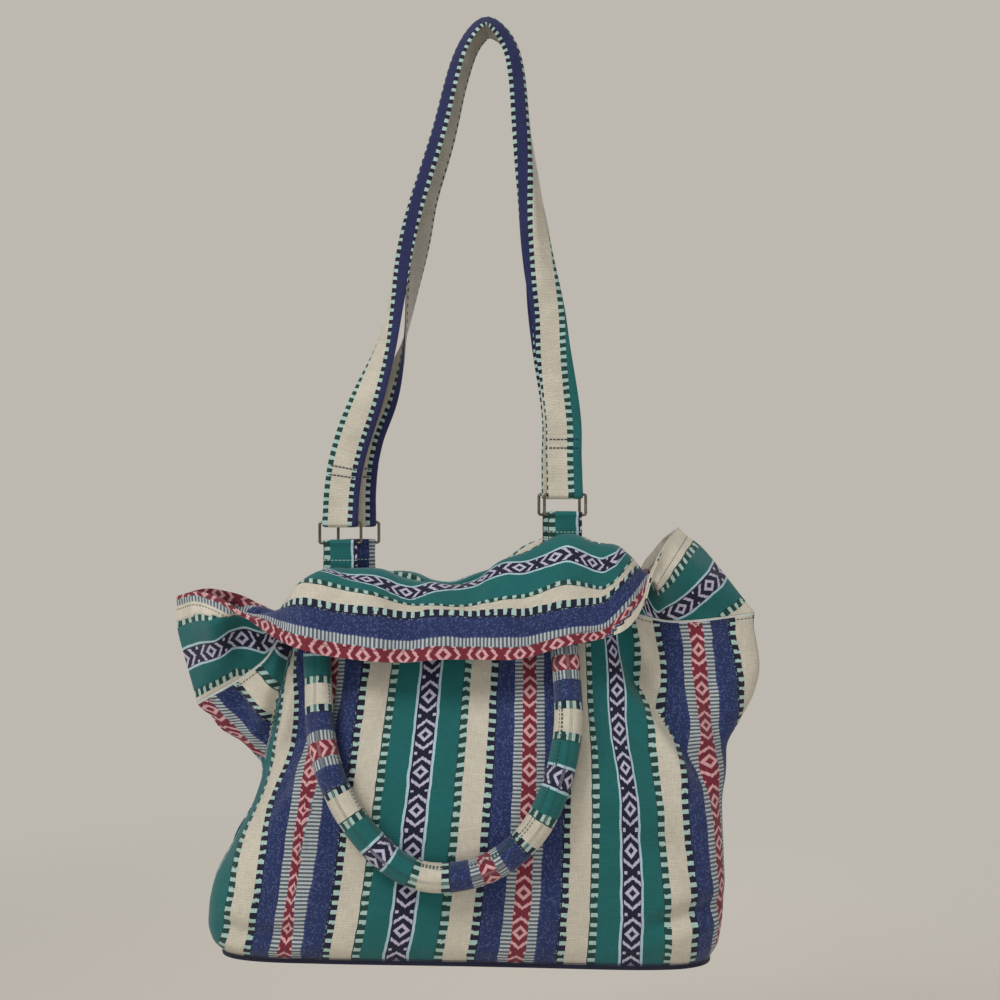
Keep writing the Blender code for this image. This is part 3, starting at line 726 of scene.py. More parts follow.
def half_depth(v):
    slim, deep = MOUTH_HALF_DEPTH, BASE_HALF_DEPTH
    return smooth_between(((0, deep * 0.85), (0.05, deep * 0.95), (0.16, deep), (0.36, deep * 0.96),
                           (0.56, deep * 0.74), (0.76, slim + (deep - slim) * 0.25), (0.9, slim * 1.2),
                           (1, slim)), v)


print("depth of the body at half height:", round(2 * half_depth(0.5), 3), "m")

# %% [markdown]
# ## The mouth seam and points of the body
# The mouth seam rises to the tabs, where the rings pull it up, and sags between and beyond them. In plan
# the body is a rounded box below and a lens above, which one kind of curve gives with a changing power.
# %% Seam and surface of the body
SEARCH_STEPS = 12
BASE_SAG = ((-0.12, 0.0), (0.02, 0.0022), (0.17, 0.0065))


def roundness(v):
    return smooth_between(((0, 5.0), (0.3, 4.2), (0.7, 2.6), (1, 2.4)), v)


def seam_height(share):
    left_tab = LEFT_TAB_X / MOUTH_REACH_LEFT
    right_tab = RIGHT_TAB_X / MOUTH_REACH_RIGHT
    return smooth_between((
        (-1, LEFT_SEAM), (-0.75, LEFT_SEAM * 0.66 + LEFT_TAB_SEAM * 0.34),
        (left_tab - 0.14, LEFT_TAB_SEAM - 0.020), (left_tab, LEFT_TAB_SEAM),
        (-0.06, MIDDLE_SEAM), (right_tab, RIGHT_TAB_SEAM),
        (right_tab + 0.16, RIGHT_TAB_SEAM - 0.033), (0.60, RIGHT_SEAM - 0.001), (0.72, RIGHT_SEAM - 0.006),
        (1, RIGHT_SEAM)), share)


def plan_share(angle, power):
    across = abs(cos(angle)) ** (2 / power)
    return (across if cos(angle) >= 0 else -across), abs(sin(angle)) ** (2 / power)


def body_point(angle, v):
    across, deep = plan_share(angle, roundness(v))
    top_share = plan_share(angle, roundness(1))[0]
    z = BASE + v * (seam_height(top_share) - BASE)
    return Vector((across * side_reach(v, across >= 0), min(-deep * half_depth(v), -GAP / 2), z))


def body_front_at(x, z):
    v, share = 0.5, 0.0
    for _ in range(SEARCH_STEPS):
        share = min(abs(x) / side_reach(v, x >= 0), 0.999)
        top_share = share ** (roundness(v) / roundness(1))
        top = seam_height(top_share if x >= 0 else -top_share)
        v = clamp((z - BASE) / (top - BASE))
    power = roundness(v)
    return half_depth(v) * (1 - share**power) ** (1 / power)


def base_sag(x):
    """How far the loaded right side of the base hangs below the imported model's flat one."""
    return smooth_between(BASE_SAG, x)


print("seam from", seam_height(-1), "m at the left to", seam_height(1), "m at the right")

# %% [markdown]
# ## The rolled handle's line
# Each handle hangs in a U and lies on its panel, so its line is known before the panel's folds are made.
# The panel's folds are then held back wherever the handle touches it.
# %% Line of the handle
HANDLE_RADIUS = 0.0115
HANDLE_LEFT_X = -0.119
HANDLE_RIGHT_X = 0.080
HANDLE_TOP = 0.258
HANDLE_LOW = 0.062
HANDLE_PLAY = 0.0008
HANDLE_POINTS = 90
HANDLE_SHAPE = (
    (-1.0, 0.0), (-0.99, 0.18), (-0.94, 0.42), (-0.82, 0.62), (-0.58, 0.82), (-0.28, 0.96), (0.04, 1.0),
    (0.42, 0.95), (0.74, 0.80), (0.93, 0.58), (1.0, 0.38), (0.99, 0.18), (0.96, 0.0),
)


def handle_lift(x, z):
    """How far out the roll's middle lies when its skin touches the panel behind it."""
    most = 0.0
    for reach in (0, 0.5, 0.85, 1):
        for k in range(8):
            dx = HANDLE_RADIUS * reach * cos(pi * k / 4)
            dz = HANDLE_RADIUS * reach * sin(pi * k / 4)
            lie = HANDLE_RADIUS * (1 - reach**2) ** 0.5
            most = max(most, body_front_at(x + dx, z + dz) + lie)
    return most + HANDLE_PLAY


def handle_line(count):
    middle = (HANDLE_LEFT_X + HANDLE_RIGHT_X) / 2
    half = (HANDLE_RIGHT_X - HANDLE_LEFT_X) / 2
    depth = HANDLE_TOP - HANDLE_LOW - HANDLE_RADIUS
    points = []
    for across, down in HANDLE_SHAPE:
        x = middle + half * across
        z = HANDLE_TOP - depth * down
        points.append(Vector((x, -handle_lift(x, z), z)))
    path = spread_through(points, count)
    return [Vector((p.x, min(p.y, -handle_lift(p.x, p.z)), p.z)) for p in path]


HANDLE_LINE = handle_line(HANDLE_POINTS)
print("handle:", round(running_lengths(HANDLE_LINE)[-1], 3), "m long")

# %% [markdown]
# ## Folds in the panels
# A soft bag pulled up by its rings creases from the tabs to the corners. Each crease is a line drawn on
# the panel: the cloth sinks along it and swells a little beside it. Slow noise adds the sag between, and
# short pleats hang from the seam. Folds fade to nothing at the seams.
# %% Creases and sag
CREASES = (
    (((0.118, 0.262), (0.140, 0.212), (0.152, 0.196), (0.168, 0.173), (0.183, 0.150), (0.197, 0.122)),
     0.0085, 0.007),
    (((0.205, 0.232), (0.196, 0.205), (0.200, 0.185), (0.212, 0.170)), 0.0040, 0.008),
    (((0.150, 0.262), (0.166, 0.240), (0.190, 0.224)), 0.0035, 0.007),
    (((0.140, 0.034), (0.172, 0.044), (0.202, 0.048)), 0.0045, 0.007),
    (((-0.138, 0.262), (-0.146, 0.225), (-0.154, 0.190), (-0.166, 0.155)), 0.0080, 0.006),
    (((-0.198, 0.212), (-0.180, 0.190), (-0.168, 0.172)), 0.0040, 0.007),
    (((-0.165, 0.160), (-0.172, 0.128), (-0.188, 0.100), (-0.198, 0.062)), 0.0040, 0.010),
    (((-0.196, 0.030), (-0.160, 0.022), (-0.120, 0.026)), 0.0030, 0.008),
    (((0.020, 0.250), (0.030, 0.205), (0.024, 0.165)), 0.0022, 0.010),
    (((-0.060, 0.250), (-0.056, 0.215), (-0.064, 0.180)), 0.0022, 0.010),
    (((0.100, 0.120), (0.130, 0.098), (0.165, 0.090)), 0.0022, 0.012),
)


MIRROR_SHIFT = (0.006, 0.007)
CREASE_FADE, CREASE_START, CREASE_END = 4, 0.25, 0.1
SWELL, SWELL_AWAY, SWELL_WIDTH = 0.45, 1.9, 1.2


def beside_fold(line, x, z):
    """Distance from a drawn fold, positive on its right, and how far along the fold the point lies."""
    nearest, side, along = 1.0, 1.0, 0.0
    for k, (a, b) in enumerate(zip(line, line[1:])):
        dx, dz = b[0] - a[0], b[1] - a[1]
        t = clamp(((x - a[0]) * dx + (z - a[1]) * dz) / (dx * dx + dz * dz))
        distance = ((x - a[0] - dx * t) ** 2 + (z - a[1] - dz * t) ** 2) ** 0.5
        if distance < nearest:
            nearest, along = distance, (k + t) / (len(line) - 1)
            side = 1.0 if (x - a[0]) * dz - (z - a[1]) * dx < 0 else -1.0
    return nearest * side, along


def crease_depth(x, z, mirror):
    total = 0.0
    for line, deep, wide in CREASES:
        if mirror:
            line = [(px - MIRROR_SHIFT[0], pz - MIRROR_SHIFT[1]) for px, pz in line]
        away, along = beside_fold(line, x, z)
        fade = min(1.0, CREASE_FADE * along + CREASE_START, CREASE_FADE * (1 - along) + CREASE_END)
        swell = bell(abs(away) - SWELL_AWAY * wide, SWELL_WIDTH * wide)
        total += fade * deep * (SWELL * swell - bell(abs(away), wide))
    return total


print("creases:", len(CREASES))

# %% [markdown]
# ## Sag and pleats
# Slow noise gives the sag of the cloth between its creases, and a sine wave that dies away below the seam
# gives the pleats. Cloth can't swell out under the handle, so it only sinks there.
# %% Sag and pleats
HANDLE_TOUCH, HANDLE_FREE = 0.014, 0.016
SAG, SAG_X, SAG_Z = 0.0032, 13, 17
WRINKLE, WRINKLE_X, WRINKLE_Z = 0.0012, 38, 30
PLEAT, PLEAT_WIDTH, PLEAT_REACH = 0.0022, 0.031, 0.032
SEAM_HOLDS, FOOT_HOLDS = 0.012, 0.010


def handle_near(x, z):
    nearest = min((point.x - x) ** 2 + (point.z - z) ** 2 for point in HANDLE_LINE[::3]) ** 0.5
    return clamp((nearest - HANDLE_TOUCH) / HANDLE_FREE)


def panel_fold(point, s, seam, mirror):
    """How far the cloth stands out from the smooth form at a point of the panel."""
    seed = 7.3 if mirror else 0.0
    sag = SAG * noise(Vector((point.x * SAG_X + seed, point.z * SAG_Z, seed)))
    sag += WRINKLE * noise(Vector((point.x * WRINKLE_X + seed, point.z * WRINKLE_Z, 4 + seed)))
    hang = fading(seam - point.z, PLEAT_REACH)
    pleat = PLEAT * hang * sin(2 * pi * s / PLEAT_WIDTH + 2.5 * noise(Vector((s * 14, seed, 1))))
    fold = sag + pleat + crease_depth(point.x, point.z, mirror)
    if fold > 0:
        fold *= handle_near(point.x, point.z)
    top = min((seam - point.z) / SEAM_HOLDS, 1.0)
    foot = min((point.z - BASE) / FOOT_HOLDS, 1.0)
    return fold * max(top, 0.0) * max(foot, 0.0)


print("pleats every", PLEAT_WIDTH, "m")

# %% [markdown]
# ## Where the bands run on the panels
# The weave lies on the cloth, not on the form, so its place across is measured along each row of the
# panel. The bands lean a little where the cloth is drawn to the rings. Two rows of marks, near the base
# and high on the panel, say where each band's middle lies, and all others follow from those.
# %% Bands on the panels
LOW_MARKS = ((-0.1405, -0.084), (-0.054, 0.0), (0.039, 0.084), (0.128, 0.168), (0.208, 0.252),
             (0.508, 0.552))
HIGH_MARKS = ((-0.117, -0.084), (-0.031, 0.0), (0.0525, 0.084), (0.131, 0.168), (0.213, 0.252),
              (0.513, 0.552))
LOW_MARK_HEIGHT = 0.010
HIGH_MARK_HEIGHT = 0.196
MARKS_POWER, MARKS_LIMIT = 0.72, 1.4
LEFT_STRETCH = (1.06, 1.15)
LEFT_SLACK = 0.018
SIDE_FOLD = ((-0.166, 0.150), (-0.140, 0.249))
SIDE_FOLD_RIGHT, SIDE_FOLD_SOFT = -0.12, 0.001
SIDE_BAND = -0.236
RIGHT_FOLD = CREASES[0][0]
RIGHT_FOLD_LEFT = 0.03
RIGHT_FOLD_HIDES = (0.0085, 0.0030)
RIGHT_FOLD_EASES = (0.050, 0.030)


def by_marks(s, x, height):
    """Place across the weave by the marks, and beyond the last band on the left by the form alone."""
    low = smooth_between(LOW_MARKS, s)
    high = smooth_between(HIGH_MARKS, s)
    last_band = LOW_MARKS[0][0] + (HIGH_MARKS[0][0] - LOW_MARKS[0][0]) * height
    if x >= last_band:
        return low + (high - low) * height
    stretch = LEFT_STRETCH[0] + (LEFT_STRETCH[1] - LEFT_STRETCH[0]) * height
    return LOW_MARKS[0][1] + (x - last_band) * stretch - max(x - s - LEFT_SLACK, 0.0)


def band_place(s, x, z):
    height = clamp((z - LOW_MARK_HEIGHT) / (HIGH_MARK_HEIGHT - LOW_MARK_HEIGHT), 0.0, MARKS_LIMIT)
    usual = by_marks(s, x, height**MARKS_POWER)
    if x < SIDE_FOLD_RIGHT and z > SIDE_FOLD[0][1]:
        (foot_x, foot_z), (top_x, top_z) = SIDE_FOLD
        run = ((top_x - foot_x) ** 2 + (top_z - foot_z) ** 2) ** 0.5
        beside = ((z - foot_z) * (top_x - foot_x) - (x - foot_x) * (top_z - foot_z)) / run
        aslant = SIDE_BAND + (x + z) / 2**0.5
        usual += (aslant - usual) * smooth_between(((0.0, 0.0), (SIDE_FOLD_SOFT, 1.0)), beside)
    if x < RIGHT_FOLD[0][0] - RIGHT_FOLD_LEFT:
        return usual
    away, along = beside_fold(RIGHT_FOLD, x, z)
    held = min(1.0, 4 * (1 - along)) * clamp(3.5 * (along - 0.1))
    if away > 0:
        return usual + RIGHT_FOLD_HIDES[0] * held * fading(away, RIGHT_FOLD_EASES[0])
    return usual - RIGHT_FOLD_HIDES[1] * held * fading(-away, RIGHT_FOLD_EASES[1])


print("middle of the diamond band:", round(band_place(-0.054, -0.054, LOW_MARK_HEIGHT), 4), "m")

# %% [markdown]
# ## The two panels
# The smooth form comes first, then the folds along its normals, and the base's sag at the foot. The place
# along the weave is the length of cloth climbed so far, so the teeth stay as long on a slope.
# %% Panels
PANEL_COLUMNS = 170
PANEL_ROWS = 96
ROWS_POWER = 0.95


def panel_grid(mirror):
    smooth = []
    for j in range(PANEL_ROWS + 1):
        v = (j / PANEL_ROWS) ** ROWS_POWER
        smooth.append([body_point(pi + pi * i / PANEL_COLUMNS, v) for i in range(PANEL_COLUMNS + 1)])
    normals = grid_normals(smooth, (0, PANEL_ROWS))
    grid, weave, seam = [], [], []
    below = list(smooth[0])
    rise = [BASE] * len(below)
    for j, row in enumerate(smooth):
        lengths = running_lengths(row)
        centre = next(i for i, point in enumerate(row) if point.x >= 0)
        line, line_weave, line_seam = [], [], []
        for i, point in enumerate(row):
            s = lengths[i] - lengths[centre] + row[centre].x
            top = smooth[-1][i].z
            fold = panel_fold(point, s, top, mirror)
            hang = base_sag(point.x) * max(1 - 2 * j / PANEL_ROWS, 0)
            line.append(point + normals[j][i] * fold - Vector((0, 0, hang)))
            rise[i] += (point - below[i]).length
            below[i] = point
            line_weave.append((band_place(s, point.x, point.z), rise[i]))
            line_seam.append((top - point.z, s))
        grid.append(line)
        weave.append(line_weave)
        seam.append(line_seam)
    return grid, weave, seam


for side in ("front", "back"):
    back = side == "back"
    grid, weave, seam = panel_grid(back)
    normals = grid_normals(grid, (0, PANEL_ROWS))
    piece = sheet(side + "_panel_cloth", grid, normals, weave, seam, 0.0, -2 * LAYER, panel_cloth, back)
    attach(piece, "bag")
    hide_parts(side + "_panel")
    print(piece.name, len(piece.data.polygons), "faces")

# %% [markdown]
# ## The base
# The base is one more layer of cloth with a stiff sheet in it. It shows only from below, so it is a
# slightly domed disc in the plan of the body's foot, and it hangs lower on the side with the load.
# %% Base
DOME = 0.0010
BASE_RINGS = 14
BASE_AROUND = 160


def base_piece():
    points, uv_weave, uv_seam, faces = [], [], [], []
    for layer in (0, 1):
        for r in range(BASE_RINGS + 1):
            share = r / BASE_RINGS
            for k in range(BASE_AROUND):
                angle = 2 * pi * k / BASE_AROUND
                across, deep = plan_share(angle, roundness(0))
                x = across * side_reach(0, across >= 0) * share
                y = (-1 if sin(angle) > 0 else 1) * -deep * half_depth(0) * share
                dome = DOME * (1 - share**4)
                z = BASE_THICKNESS if layer else dome
                points.append(Vector((x, y, z - base_sag(x))))
                uv_weave.append((x, y))
                uv_seam.append(((1 - share) * 0.06, angle * 0.15))

    def at(layer, r, k):
        return (layer * (BASE_RINGS + 1) + r) * BASE_AROUND + k % BASE_AROUND

    for r in range(BASE_RINGS):
        for k in range(BASE_AROUND):
            faces.append((at(0, r, k), at(0, r, k + 1), at(0, r + 1, k + 1), at(0, r + 1, k)))
            faces.append((at(1, r, k), at(1, r + 1, k), at(1, r + 1, k + 1), at(1, r, k + 1)))
    for k in range(BASE_AROUND):
        faces.append((at(0, BASE_RINGS, k), at(0, BASE_RINGS, k + 1), at(1, BASE_RINGS, k + 1),
                      at(1, BASE_RINGS, k)))
    return finished("base_cloth", points, faces, {"Weave": uv_weave, "Seam": uv_seam}, [base_cloth])


base = base_piece()
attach(base, "bag")
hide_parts("base_panel")
print(base.name, len(base.data.polygons), "faces")

# %% [markdown]
# ## The collar's line
# The collar stands up from the mouth seam. At the two ends it stands as ears, and in between it has
# flopped over, so the facing shows. Stations along the mouth say where its crest and its hem lie and how
# far it is turned, from 0, standing, to 1, turned down.
# %% Stations of the collar
HEM_DROP = 0.062
HEM_STAND_OFF = 0.056
FOLD_RISE = 0.009
FOLD_STAND_OFF = 0.024
RIGHT_EAR = Vector((-0.063, 0, 0.070))
LEFT_EAR = Vector((-0.017, 0, 0.087))
EAR_CREST = 0.68
EAR_BELLY = 0.4
COLLAR_ROWS = 46


def seam_point(share):
    power = roundness(1)
    y = -half_depth(1) * max(1 - abs(share) ** power, 0) ** (1 / power)
    return Vector((share * side_reach(1, share >= 0), min(y, -GAP / 2), seam_height(share)))


def collar_stations():
    left_end, right_end = seam_point(-1), seam_point(1)
    left_tip, right_tip = left_end + LEFT_EAR, right_end + RIGHT_EAR

    def ear(share, tip, inwards, out, up, belly=EAR_BELLY):
        hem = tip + Vector((inwards, -out, up))
        return share, seam_point(share).lerp(hem, EAR_CREST) + Vector((0, -out * belly, 0)), hem, 0.0

    def turned(share, rise, drop, fold=1.0, stand_off=HEM_STAND_OFF):
        low = seam_point(share)
        crest = Vector((low.x, -FOLD_STAND_OFF, low.z + rise))
        return share, crest, Vector((low.x, -stand_off, crest.z - drop)), fold

    left_tab = LEFT_TAB_X / MOUTH_REACH_LEFT
    right_tab = RIGHT_TAB_X / MOUTH_REACH_RIGHT
    rise, drop = FOLD_RISE, HEM_DROP
    return [
        (-1, left_end.lerp(left_tip, EAR_CREST) + Vector((-0.004, 0, 0)), left_tip, 0.0),
        ear(-0.94, left_tip, 0.020, 0.016, 0.005),
        ear(-0.87, left_tip, 0.038, 0.030, 0.001),
        turned(-0.80, rise + 0.035, drop - 0.067, 0.25, HEM_STAND_OFF - 0.012),
        turned(-0.72, rise + 0.019, drop - 0.055, 0.75, HEM_STAND_OFF - 0.006),
        turned(-0.60, rise + 0.003, drop - 0.018),
        turned(left_tab, rise - 0.002, drop + 0.004),
        turned(-0.22, rise, drop),
        turned(-0.06, rise, drop - 0.008),
        turned(0.14, rise, drop + 0.012),
        turned(right_tab, rise, drop + 0.020),
        turned(0.50, rise + 0.024, drop + 0.002),
        turned(0.60, rise + 0.024, drop - 0.043, 0.6, HEM_STAND_OFF - 0.010),
        ear(0.69, right_tip, -0.024, 0.040, -0.034, EAR_BELLY / 3),
        ear(0.79, right_tip, -0.017, 0.029, -0.022, EAR_BELLY / 2),
        ear(0.90, right_tip, -0.008, 0.019, -0.009),
        (1, right_end.lerp(right_tip, EAR_CREST) + Vector((0.003, 0, 0.002)), right_tip, 0.0),
    ]


print("collar stations:", len(collar_stations()))

# %% [markdown]
# ## One column of the collar
# A column is a curve from the seam over the crest to the hem. Where the collar stands it is nearly a
# straight line, and where it has flopped over it starts upwards, rolls over and ends downwards.
# %% Columns of the collar
HALF_COLUMN = 24


def collar_column(low, crest, hem, fold):
    fold = fold**1.5
    straight = (hem - low) * 0.5
    rise, fall = (crest - low).length, (hem - crest).length
    start = Vector((0, 0, 1)) * rise * fold + straight * (1 - fold)
    over = Vector((0, -1, 0)) * (rise + fall) * 0.4 * fold + straight * (1 - fold)
    end = Vector((0, -0.1, -1)) * fall * fold + straight * (1 - fold)
    fine = [hermite(low, start, crest, over, k / HALF_COLUMN) for k in range(HALF_COLUMN)]
    fine += [hermite(crest, over, hem, end, k / HALF_COLUMN) for k in range(HALF_COLUMN + 1)]
    return [Vector((p.x, min(p.y, -GAP / 2), p.z)) for p in spread(fine, COLLAR_ROWS + 1)]


print("points in a column:", COLLAR_ROWS + 1)

# %% [markdown]
# ## Where the bands run on the collar
# The bands run along the collar, so the place across the weave is the distance from the hem. On the flap
# small folds hide a part of some bands, and rows of edges say where each band shows. The facing ends in a
# pale hem on the right ear. On the left ear the bands keep to the seam, under a pale hem of their own.
# %% Bands on the collar
BAND_AT_HEM = -0.0495
PALE_BAND = -0.046
LEFT_EAR_HELD = ((-0.84, 1), (-0.74, 0))
LEFT_EAR_AT_SEAM = 0.036
LEFT_EAR_PALE_ROWS = ((-1, 11), (-0.90, 10), (-0.80, 6), (-0.74, 0))
COLLAR_BANDS = (0, 16, 31.5, 37.5, 54.5, 60.5, 77.5, 95, 114, 200)
FLAP_SHOWS = (
    (-0.80, COLLAR_BANDS),
    (-0.46, (0, 19, 35, 43, 55, 59, 66, 69, 80, 160)),
    (-0.20, (0, 16.5, 34, 41, 46, 48, 50, 63, 77, 160)),
    (-0.06, (0, 16.5, 33, 39.5, 41, 43, 58, 69, 84, 160)),
    (0.14, (0, 17, 33, 40, 47, 50, 68, 78, 88, 170)),
    (0.34, (0, 13.5, 28, 35, 47, 51, 65, 77, 93, 170)),
    (0.50, (0, 10, 26, 32, 34, 36, 46, 58, 72, 150)),
    (0.66, COLLAR_BANDS),
)


def band_on_flap(share, distance):
    """Place across the weave on the facing, where folds hide a part of some bands; both in metres."""
    if share <= FLAP_SHOWS[0][0] or share >= FLAP_SHOWS[-1][0]:
        return distance
    k = max(i for i in range(len(FLAP_SHOWS) - 1) if FLAP_SHOWS[i][0] <= share)
    (before, left), (after, right) = FLAP_SHOWS[k], FLAP_SHOWS[k + 1]
    t = (share - before) / (after - before)
    edges = [a + (b - a) * t for a, b in zip(left, right)]
    mm = distance * 1000
    n = max(i for i in range(len(edges) - 1) if edges[i] <= mm)
    part = (mm - edges[n]) / (edges[n + 1] - edges[n])
    return (COLLAR_BANDS[n] + (COLLAR_BANDS[n + 1] - COLLAR_BANDS[n]) * part) / 1000


def band_on_ear(share, j, from_hem, from_seam):
    """Place across the weave on the outer band: on the left ear it follows the seam, with a pale hem."""
    place = from_hem + BAND_AT_HEM
    held = smooth_between(LEFT_EAR_HELD, share)
    if held > 0 and COLLAR_ROWS - j < round(smooth_between(LEFT_EAR_PALE_ROWS, share)):
        return PALE_BAND
    return place + (LEFT_EAR_AT_SEAM - from_seam - place) * held


print("bands on the collar:", len(COLLAR_BANDS) - 1)

# %% [markdown]
# ## The collar and its facing
# Both layers share one surface, so ripples are added to it once and the layers follow. On the outer band
# the hem lies in the cream, and on the facing it lies in the middle of the red band.
# %% Surface of the collar
COLLAR_COLUMNS = 220
END_CLOSENESS = 0.3
END_COLUMNS = 8
STAND_OFF_KEPT = 0.7
FACING_PALE_PLACE = 0.040
FACING_PALE_ROWS = ((0.46, 0), (0.56, 5), (0.70, 5), (0.80, 24), (1, 26))
SLOW_RIPPLE, FINE_RIPPLE = 0.0034, 0.0013
WAVE, WAVE_LENGTH = 0.0018, 0.052


def collar_ripple(along, height, fold, mirror):
    seed = 3.7 if mirror else 0.0
    slow = SLOW_RIPPLE * noise(Vector((along * 22 + seed, height * 1.4, seed)))
    fine = FINE_RIPPLE * noise(Vector((along * 60 + seed, height * 3.0, 2 + seed)))
    wave = WAVE * sin(along * 2 * pi / WAVE_LENGTH + seed) * fold
    return (slow + fine + wave) * min(height * 5, 1.0)


def facing_place(share, from_hem, rows_to_hem):
    pale = smooth_between(FACING_PALE_ROWS, share)
    # The jump to the pale place smears all bands over one row of faces, a dark line at the hem's edge that stands
    # as painted shade.
    if rows_to_hem < round(pale):
        return FACING_PALE_PLACE
    return band_on_flap(share, max(from_hem * (1 - pale / max(rows_to_hem, 1)), 0.0))


def collar_surface(mirror):
    stations = collar_stations()

    def between(share, item, axis):
        return smooth_between([(s[0], s[item][axis]) for s in stations], share)

    columns, folds, shares = [], [], []
    for i in range(COLLAR_COLUMNS + 1):
        step = 2 * i / COLLAR_COLUMNS - 1
        rounded = plan_share(pi + pi * i / COLLAR_COLUMNS, roundness(1))[0]
        share = step + (rounded - step) * END_CLOSENESS
        shares.append(share)
        crest = Vector([between(share, 1, axis) for axis in range(3)])
        hem = Vector([between(share, 2, axis) for axis in range(3)])
        fold = smooth_between([(s[0], s[3]) for s in stations], share)
        columns.append(collar_column(seam_point(share) + Vector((0, 0, GAP)), crest, hem, fold))
        folds.append(fold)
    smooth = [[column[j] for column in columns] for j in range(COLLAR_ROWS + 1)]
    normals = grid_normals(smooth, (0,))
    along = [0.0]
    for a, b in zip(columns, columns[1:]):
        along.append(along[-1] + 0.5 * ((b[-1] - a[-1]).length + (b[0] - a[0]).length))
    grid, weave, seam, outer = [], [], [], []
    climbed = [running_lengths(column) for column in columns]
    for j, row in enumerate(smooth):
        height = j / COLLAR_ROWS
        line, line_weave, line_seam, line_outer = [], [], [], []
        for i, point in enumerate(row):
            end = min(i, COLLAR_COLUMNS - i) / END_COLUMNS
            ripple = collar_ripple(along[i], height, folds[i], mirror) * min(end, 1.0)
            moved = point + normals[j][i] * ripple
            line.append(Vector((moved.x, min(moved.y, point.y * STAND_OFF_KEPT), moved.z)))
            column = columns[i]
            across = sum((b - a).length for a, b in zip(column[j:], column[j + 1:]))
            line_weave.append((facing_place(shares[i], across, COLLAR_ROWS - j), along[i]))
            line_seam.append((across, along[i]))
            line_outer.append((band_on_ear(shares[i], j, across, climbed[i][j]), along[i]))
        grid.append(line)
        weave.append(line_weave)
        seam.append(line_seam)
        outer.append(line_outer)
    return grid, weave, seam, outer


print("collar:", COLLAR_COLUMNS, "columns by", COLLAR_ROWS, "rows")

# %% [markdown]
# ## Two layers from one surface
# The outer band takes the surface itself, and the facing lies one layer and a hair's gap inside it.
# %% Collar and facing
FACING_AT_HEM = -0.087

for side in ("front", "back"):
    back = side == "back"
    grid, weave, seam, band = collar_surface(back)
    normals = grid_normals(grid, (0,))
    facing = [[(u + FACING_AT_HEM, v) for u, v in row] for row in weave]
    outer = sheet(side + "_collar_cloth", grid, normals, band, seam, 0.0, -LAYER, band_cloth, back)
    inner = sheet(side + "_facing_cloth", grid, normals, facing, seam, -LAYER - GAP, -2 * LAYER - GAP,
                  facing_cloth, back)
    for piece, node, slot in ((outer, "_collar", "green_cotton"), (inner, "_facing", "blue_cotton")):
        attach(piece, "bag")
        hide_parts(side + node)
        print(piece.name, len(piece.data.polygons), "faces")

# %% [markdown]
# ## Tabs
# Each tab is a folded strip of cloth. It runs up from the mouth seam, round the lower bar of a ring and
# down again, so the first thing to know is where the tabs and the ring bars lie.
# %% Ring corners
TAB_WIDTH = 0.028
TAB_THICKNESS = 0.003
TAB_TAIL = 0.022
TAB_RISE = 0.028
WIRE = 0.0024
WIRE_PLAY = 0.00035
RING_DROP = 0.0166
PANEL_THICKNESS = 2 * LAYER + GAP


def corners():
    outermost = max(abs(LEFT_TAB_X), abs(RIGHT_TAB_X)) + TAB_WIDTH / 2
    inner = -seam_point(outermost / min(MOUTH_REACH_LEFT, MOUTH_REACH_RIGHT)).y - PANEL_THICKNESS
    y = inner - GAP - TAB_THICKNESS / 2
    found = {}
    for name, x, side, shift in (("front_left", LEFT_TAB_X, -1, 0.0), ("front_right", RIGHT_TAB_X, -1, 0.0),
                                 ("back_left", LEFT_TAB_X, 1, 0.013),
                                 ("back_right", RIGHT_TAB_X, 1, -0.004)):
        seam = seam_height(x / (MOUTH_REACH_RIGHT if x >= 0 else MOUTH_REACH_LEFT))
        found[name] = {"x": x + shift, "y": side * y, "seam": seam, "bar": seam + TAB_RISE}
    return found


CORNERS = corners()
print("ring corners:", list(CORNERS))

# %% [markdown]
# ## Tabs
# A tab is swept along its path as a thin strip, a little crowned across so that it looks soft.
# %% Tabs
TAB_BAND = {"front_left": -0.0325, "front_right": -0.0325, "back_left": 0.048, "back_right": -0.0325}
TAB_COLUMNS = 20
TAB_STEPS = 16
TAB_LAYER_SHARE = 0.44
TAB_CROWN, TAB_WOBBLE, TAB_INSET = 0.55, 0.0004, 0.0006


def tab_path(tail, middle, leg):
    """Up one leg, round the bar and down the other leg, seen from the side."""
    low, steps = middle * 1.9, range(TAB_STEPS + 1)
    path = [Vector((0, -leg, tail + (-low - tail) * k / TAB_STEPS)) for k in steps]
    path += [Vector((0, -middle * cos(a), middle * sin(a)))
             for a in (-pi * 0.2 + pi * 1.4 * k / TAB_STEPS for k in steps)]
    return path + [Vector((0, leg, -low + (tail + low) * k / TAB_STEPS)) for k in steps]


